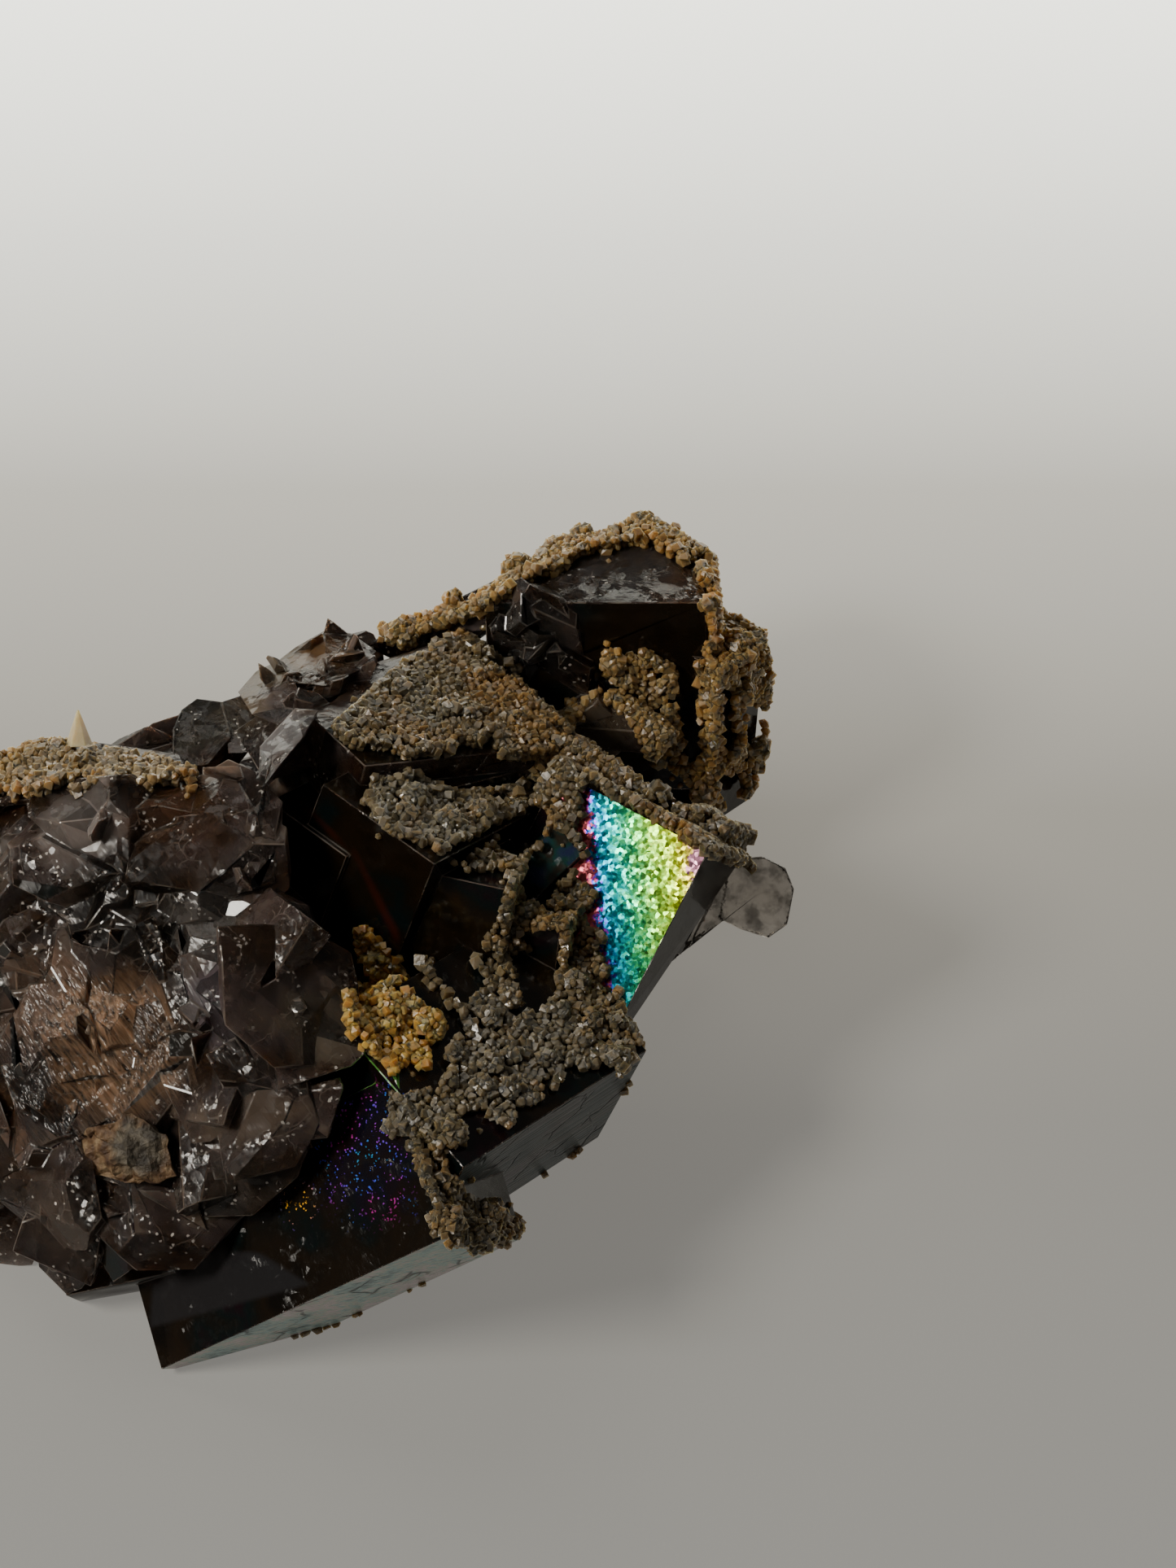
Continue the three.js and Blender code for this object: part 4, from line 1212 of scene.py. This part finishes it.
class SPECIMEN_OT_rear_fluorite(bpy.types.Operator):
    """Makes the two cubes behind"""

    bl_idname = "specimen.rear_fluorite"
    bl_label = "Rear fluorite"

    def execute(self, context):
        settings = context.scene.fluorite_settings
        source = random.Random(31)
        rear = merged_copy("rear_fluorite", "rear_fluorite_body")
        shapes = shard_shapes(REAR_SHAPE_COUNT, REAR_REACHES, 32)
        sites = visible_sites(REAR_OUTLINE, REAR_FRAGMENTS, source)
        fragments = shards_at(sites, shapes, *REAR_BREAKS, source)
        fragments.append(corner_cube(WEDGE_PIXEL, WEDGE_REACH))
        apply_boolean(rear, combined(boxed(fragments)), "UNION")
        bevel_edges(rear, settings.wear, WORN_ANGLE, WORN_LENGTH)
        mark_faces(rear, 33)
        finish_piece(rear, smoky_fluorite("rear_smoky_fluorite", tuple(settings.clarity), REAR_SPOTS),
                     "smoky_fluorite", "rear_fluorite")
        return {"FINISHED"}


class SPECIMEN_OT_side_blade(bpy.types.Operator):
    """Makes the grey see-through plate at the right"""

    bl_idname = "specimen.side_blade"
    bl_label = "Side blade"

    def execute(self, context):
        blade = merged_copy("side_blade", "clear_blade")
        bevel_edges(blade, context.scene.fluorite_settings.wear, WORN_ANGLE, 0.8 * MM)
        finish_piece(blade, clear_fluorite(), "clear_fluorite", "side_blade")
        return {"FINISHED"}


def add_crust(context, node, name, seed, material, slot, more_grains=()):
    settings = context.scene.crust_settings
    source = random.Random(seed)
    grains = crust_grains(node, settings.grain, settings.spacing, source) + list(more_grains)
    finish_piece(grain_mesh(name, grains, source), material, slot, node)


class SPECIMEN_OT_calcite_crusts(bpy.types.Operator):
    """Fills the three patches of crust with calcite grains"""

    bl_idname = "specimen.calcite_crusts"
    bl_label = "Calcite crusts"

    def execute(self, context):
        settings = context.scene.crust_settings
        front = calcite("sugary_calcite", settings.pale, settings.deep, FRONT_STAIN, CRUST_SPOTS)
        rear = calcite("browned_calcite", *BROWNED_COLOURS, REAR_CRUST_SPOTS)
        hanging = beads(random.Random(44))
        add_crust(context, "calcite_crust_front", "front_grains", 41, front, "calcite", hanging)
        add_crust(context, "calcite_crust_rear", "rear_grains", 42, rear, "calcite")
        add_crust(context, "calcite_crust_ledge", "ledge_grains", 43, rear, "calcite")
        return {"FINISHED"}


class SPECIMEN_OT_stained_calcite(bpy.types.Operator):
    """Fills the iron-stained patch with ochre grains"""

    bl_idname = "specimen.stained_calcite"
    bl_label = "Stained calcite"

    def execute(self, context):
        material = calcite("ochre_calcite", *OCHRE_COLOURS)
        add_crust(context, "stained_calcite", "ochre_grains", 51, material, "stained_calcite")
        return {"FINISHED"}


class SPECIMEN_OT_calcite_spike(bpy.types.Operator):
    """Makes the pointed calcite crystal on the ledge"""

    bl_idname = "specimen.calcite_spike"
    bl_label = "Calcite spike"

    def execute(self, context):
        spike = merged_copy("calcite_spike", "pointed_calcite")
        bevel_edges(spike, 0.05 * MM, math.radians(20), 0.5 * MM)
        material = calcite("spike_calcite", *SPIKE_COLOURS)
        finish_piece(spike, material, "calcite", "calcite_spike")
        return {"FINISHED"}


class SPECIMEN_OT_matrix_remnant(bpy.types.Operator):
    """Makes the bit of host rock in the cleaved mass"""

    bl_idname = "specimen.matrix_remnant"
    bl_label = "Host rock"

    def execute(self, context):
        rock = merged_copy("matrix_remnant", "host_rock")
        bpy.ops.object.mode_set(mode="EDIT")
        bpy.ops.mesh.select_all(action="SELECT")
        bpy.ops.mesh.quads_convert_to_tris()
        bpy.ops.mesh.subdivide(number_cuts=5)
        bpy.ops.object.mode_set(mode="OBJECT")
        lumps = bpy.data.textures.new("rock_lumps", "CLOUDS")
        lumps.noise_scale = ROCK_LUMP_SIZE
        modifier = rock.modifiers.new("lumps", "DISPLACE")
        modifier.texture = lumps
        modifier.texture_coords = "LOCAL"
        modifier.strength = ROCK_LUMP_HEIGHT
        modifier.mid_level = 0.6
        bpy.ops.object.modifier_apply(modifier=modifier.name)
        finish_piece(rock, host_rock(), "matrix", "matrix_remnant")
        return {"FINISHED"}


class SPECIMEN_OT_stage(bpy.types.Operator):
    """Adds the floor, the lights and the camera"""

    bl_idname = "specimen.stage"
    bl_label = "Stage"

    def execute(self, context):
        deselect_all()
        bpy.ops.mesh.primitive_circle_add(vertices=64, radius=3, fill_type="NGON")
        floor = context.object
        floor.name = "floor"
        floor.data.materials.append(paper())
        for name, *light in LIGHTS:
            add_area_light(name, *light)
        world = bpy.data.worlds.new("room")
        world.use_nodes = True
        backdrop = world.node_tree.nodes["Background"]
        backdrop.inputs["Color"].default_value = (*ROOM_COLOUR, 1)
        backdrop.inputs["Strength"].default_value = ROOM_STRENGTH
        context.scene.world = world
        add_camera(context)
        return {"FINISHED"}


LIGHT_TARGET = Vector((0, 0, 12 * MM))
LIGHTS = (
    # name, direction, distance in metres, size in metres, power in watts, colour
    ("sun_window", Vector((-0.665, -0.21, 0.72)), 1.1, 0.32, 11, (1.0, 0.95, 0.86)),
    ("sky_fill", Vector((-0.25, 0.75, 0.9)), 1.4, 1.0, 5, (1.0, 0.97, 0.90)),
)
ROOM_COLOUR = (0.84, 0.81, 0.74)
ROOM_STRENGTH = 0.10


def add_area_light(name, direction, distance, size, power, colour):
    """An area light that shines on the specimen from a direction."""
    deselect_all()
    direction = direction.normalized()
    bpy.ops.object.light_add(type="AREA", location=LIGHT_TARGET + direction * distance,
                             rotation=direction.to_track_quat("Z", "Y").to_euler())
    light = bpy.context.object
    light.name = name
    light.data.shape = "DISK"
    light.data.size = size
    light.data.energy = power
    light.data.color = colour


def add_camera(context):
    """The camera, at the photograph's angle and scale."""
    deselect_all()
    bpy.ops.object.camera_add(location=EYE, rotation=(math.pi / 2 - VIEW_ELEVATION, 0, 0))
    camera = context.object
    camera.name = "photo_view"
    camera.data.sensor_width = SENSOR
    camera.data.lens = SENSOR * VIEW_DISTANCE / (PHOTO_HEIGHT / PIXELS_PER_MM * MM)
    camera.data.clip_start = 0.01
    context.scene.camera = camera


class SPECIMEN_PT_panel(bpy.types.Panel):
    """Lists the settings and the pieces"""

    bl_idname = "SPECIMEN_PT_panel"
    bl_label = "Fluorite with calcite"
    bl_space_type = "VIEW_3D"
    bl_region_type = "UI"
    bl_category = "Specimen"

    def draw(self, context):
        for settings in (context.scene.fluorite_settings, context.scene.crust_settings):
            box = self.layout.box()
            for name in settings.bl_rna.properties.keys():
                if name not in ("rna_type", "name"):
                    box.prop(settings, name)
        for operator in OPERATORS:
            self.layout.operator(operator.bl_idname)


OPERATORS = (
    SPECIMEN_OT_fluorite_cluster,
    SPECIMEN_OT_rear_fluorite,
    SPECIMEN_OT_side_blade,
    SPECIMEN_OT_calcite_crusts,
    SPECIMEN_OT_stained_calcite,
    SPECIMEN_OT_calcite_spike,
    SPECIMEN_OT_matrix_remnant,
    SPECIMEN_OT_stage,
)
CLASSES = (CrustSettings, FluoriteSettings, *OPERATORS, SPECIMEN_PT_panel)


def register():
    for item in CLASSES:
        bpy.utils.register_class(item)
    bpy.types.Scene.fluorite_settings = PointerProperty(type=FluoriteSettings)
    bpy.types.Scene.crust_settings = PointerProperty(type=CrustSettings)


def unregister():
    del bpy.types.Scene.crust_settings
    del bpy.types.Scene.fluorite_settings
    for item in reversed(CLASSES):
        bpy.utils.unregister_class(item)


def main():
    register()
    bpy.ops.specimen.fluorite_cluster()
    bpy.ops.specimen.rear_fluorite()
    bpy.ops.specimen.side_blade()
    bpy.ops.specimen.calcite_crusts()
    bpy.ops.specimen.stained_calcite()
    bpy.ops.specimen.calcite_spike()
    bpy.ops.specimen.matrix_remnant()
    bpy.ops.specimen.stage()


if __name__ == "__main__":
    main()
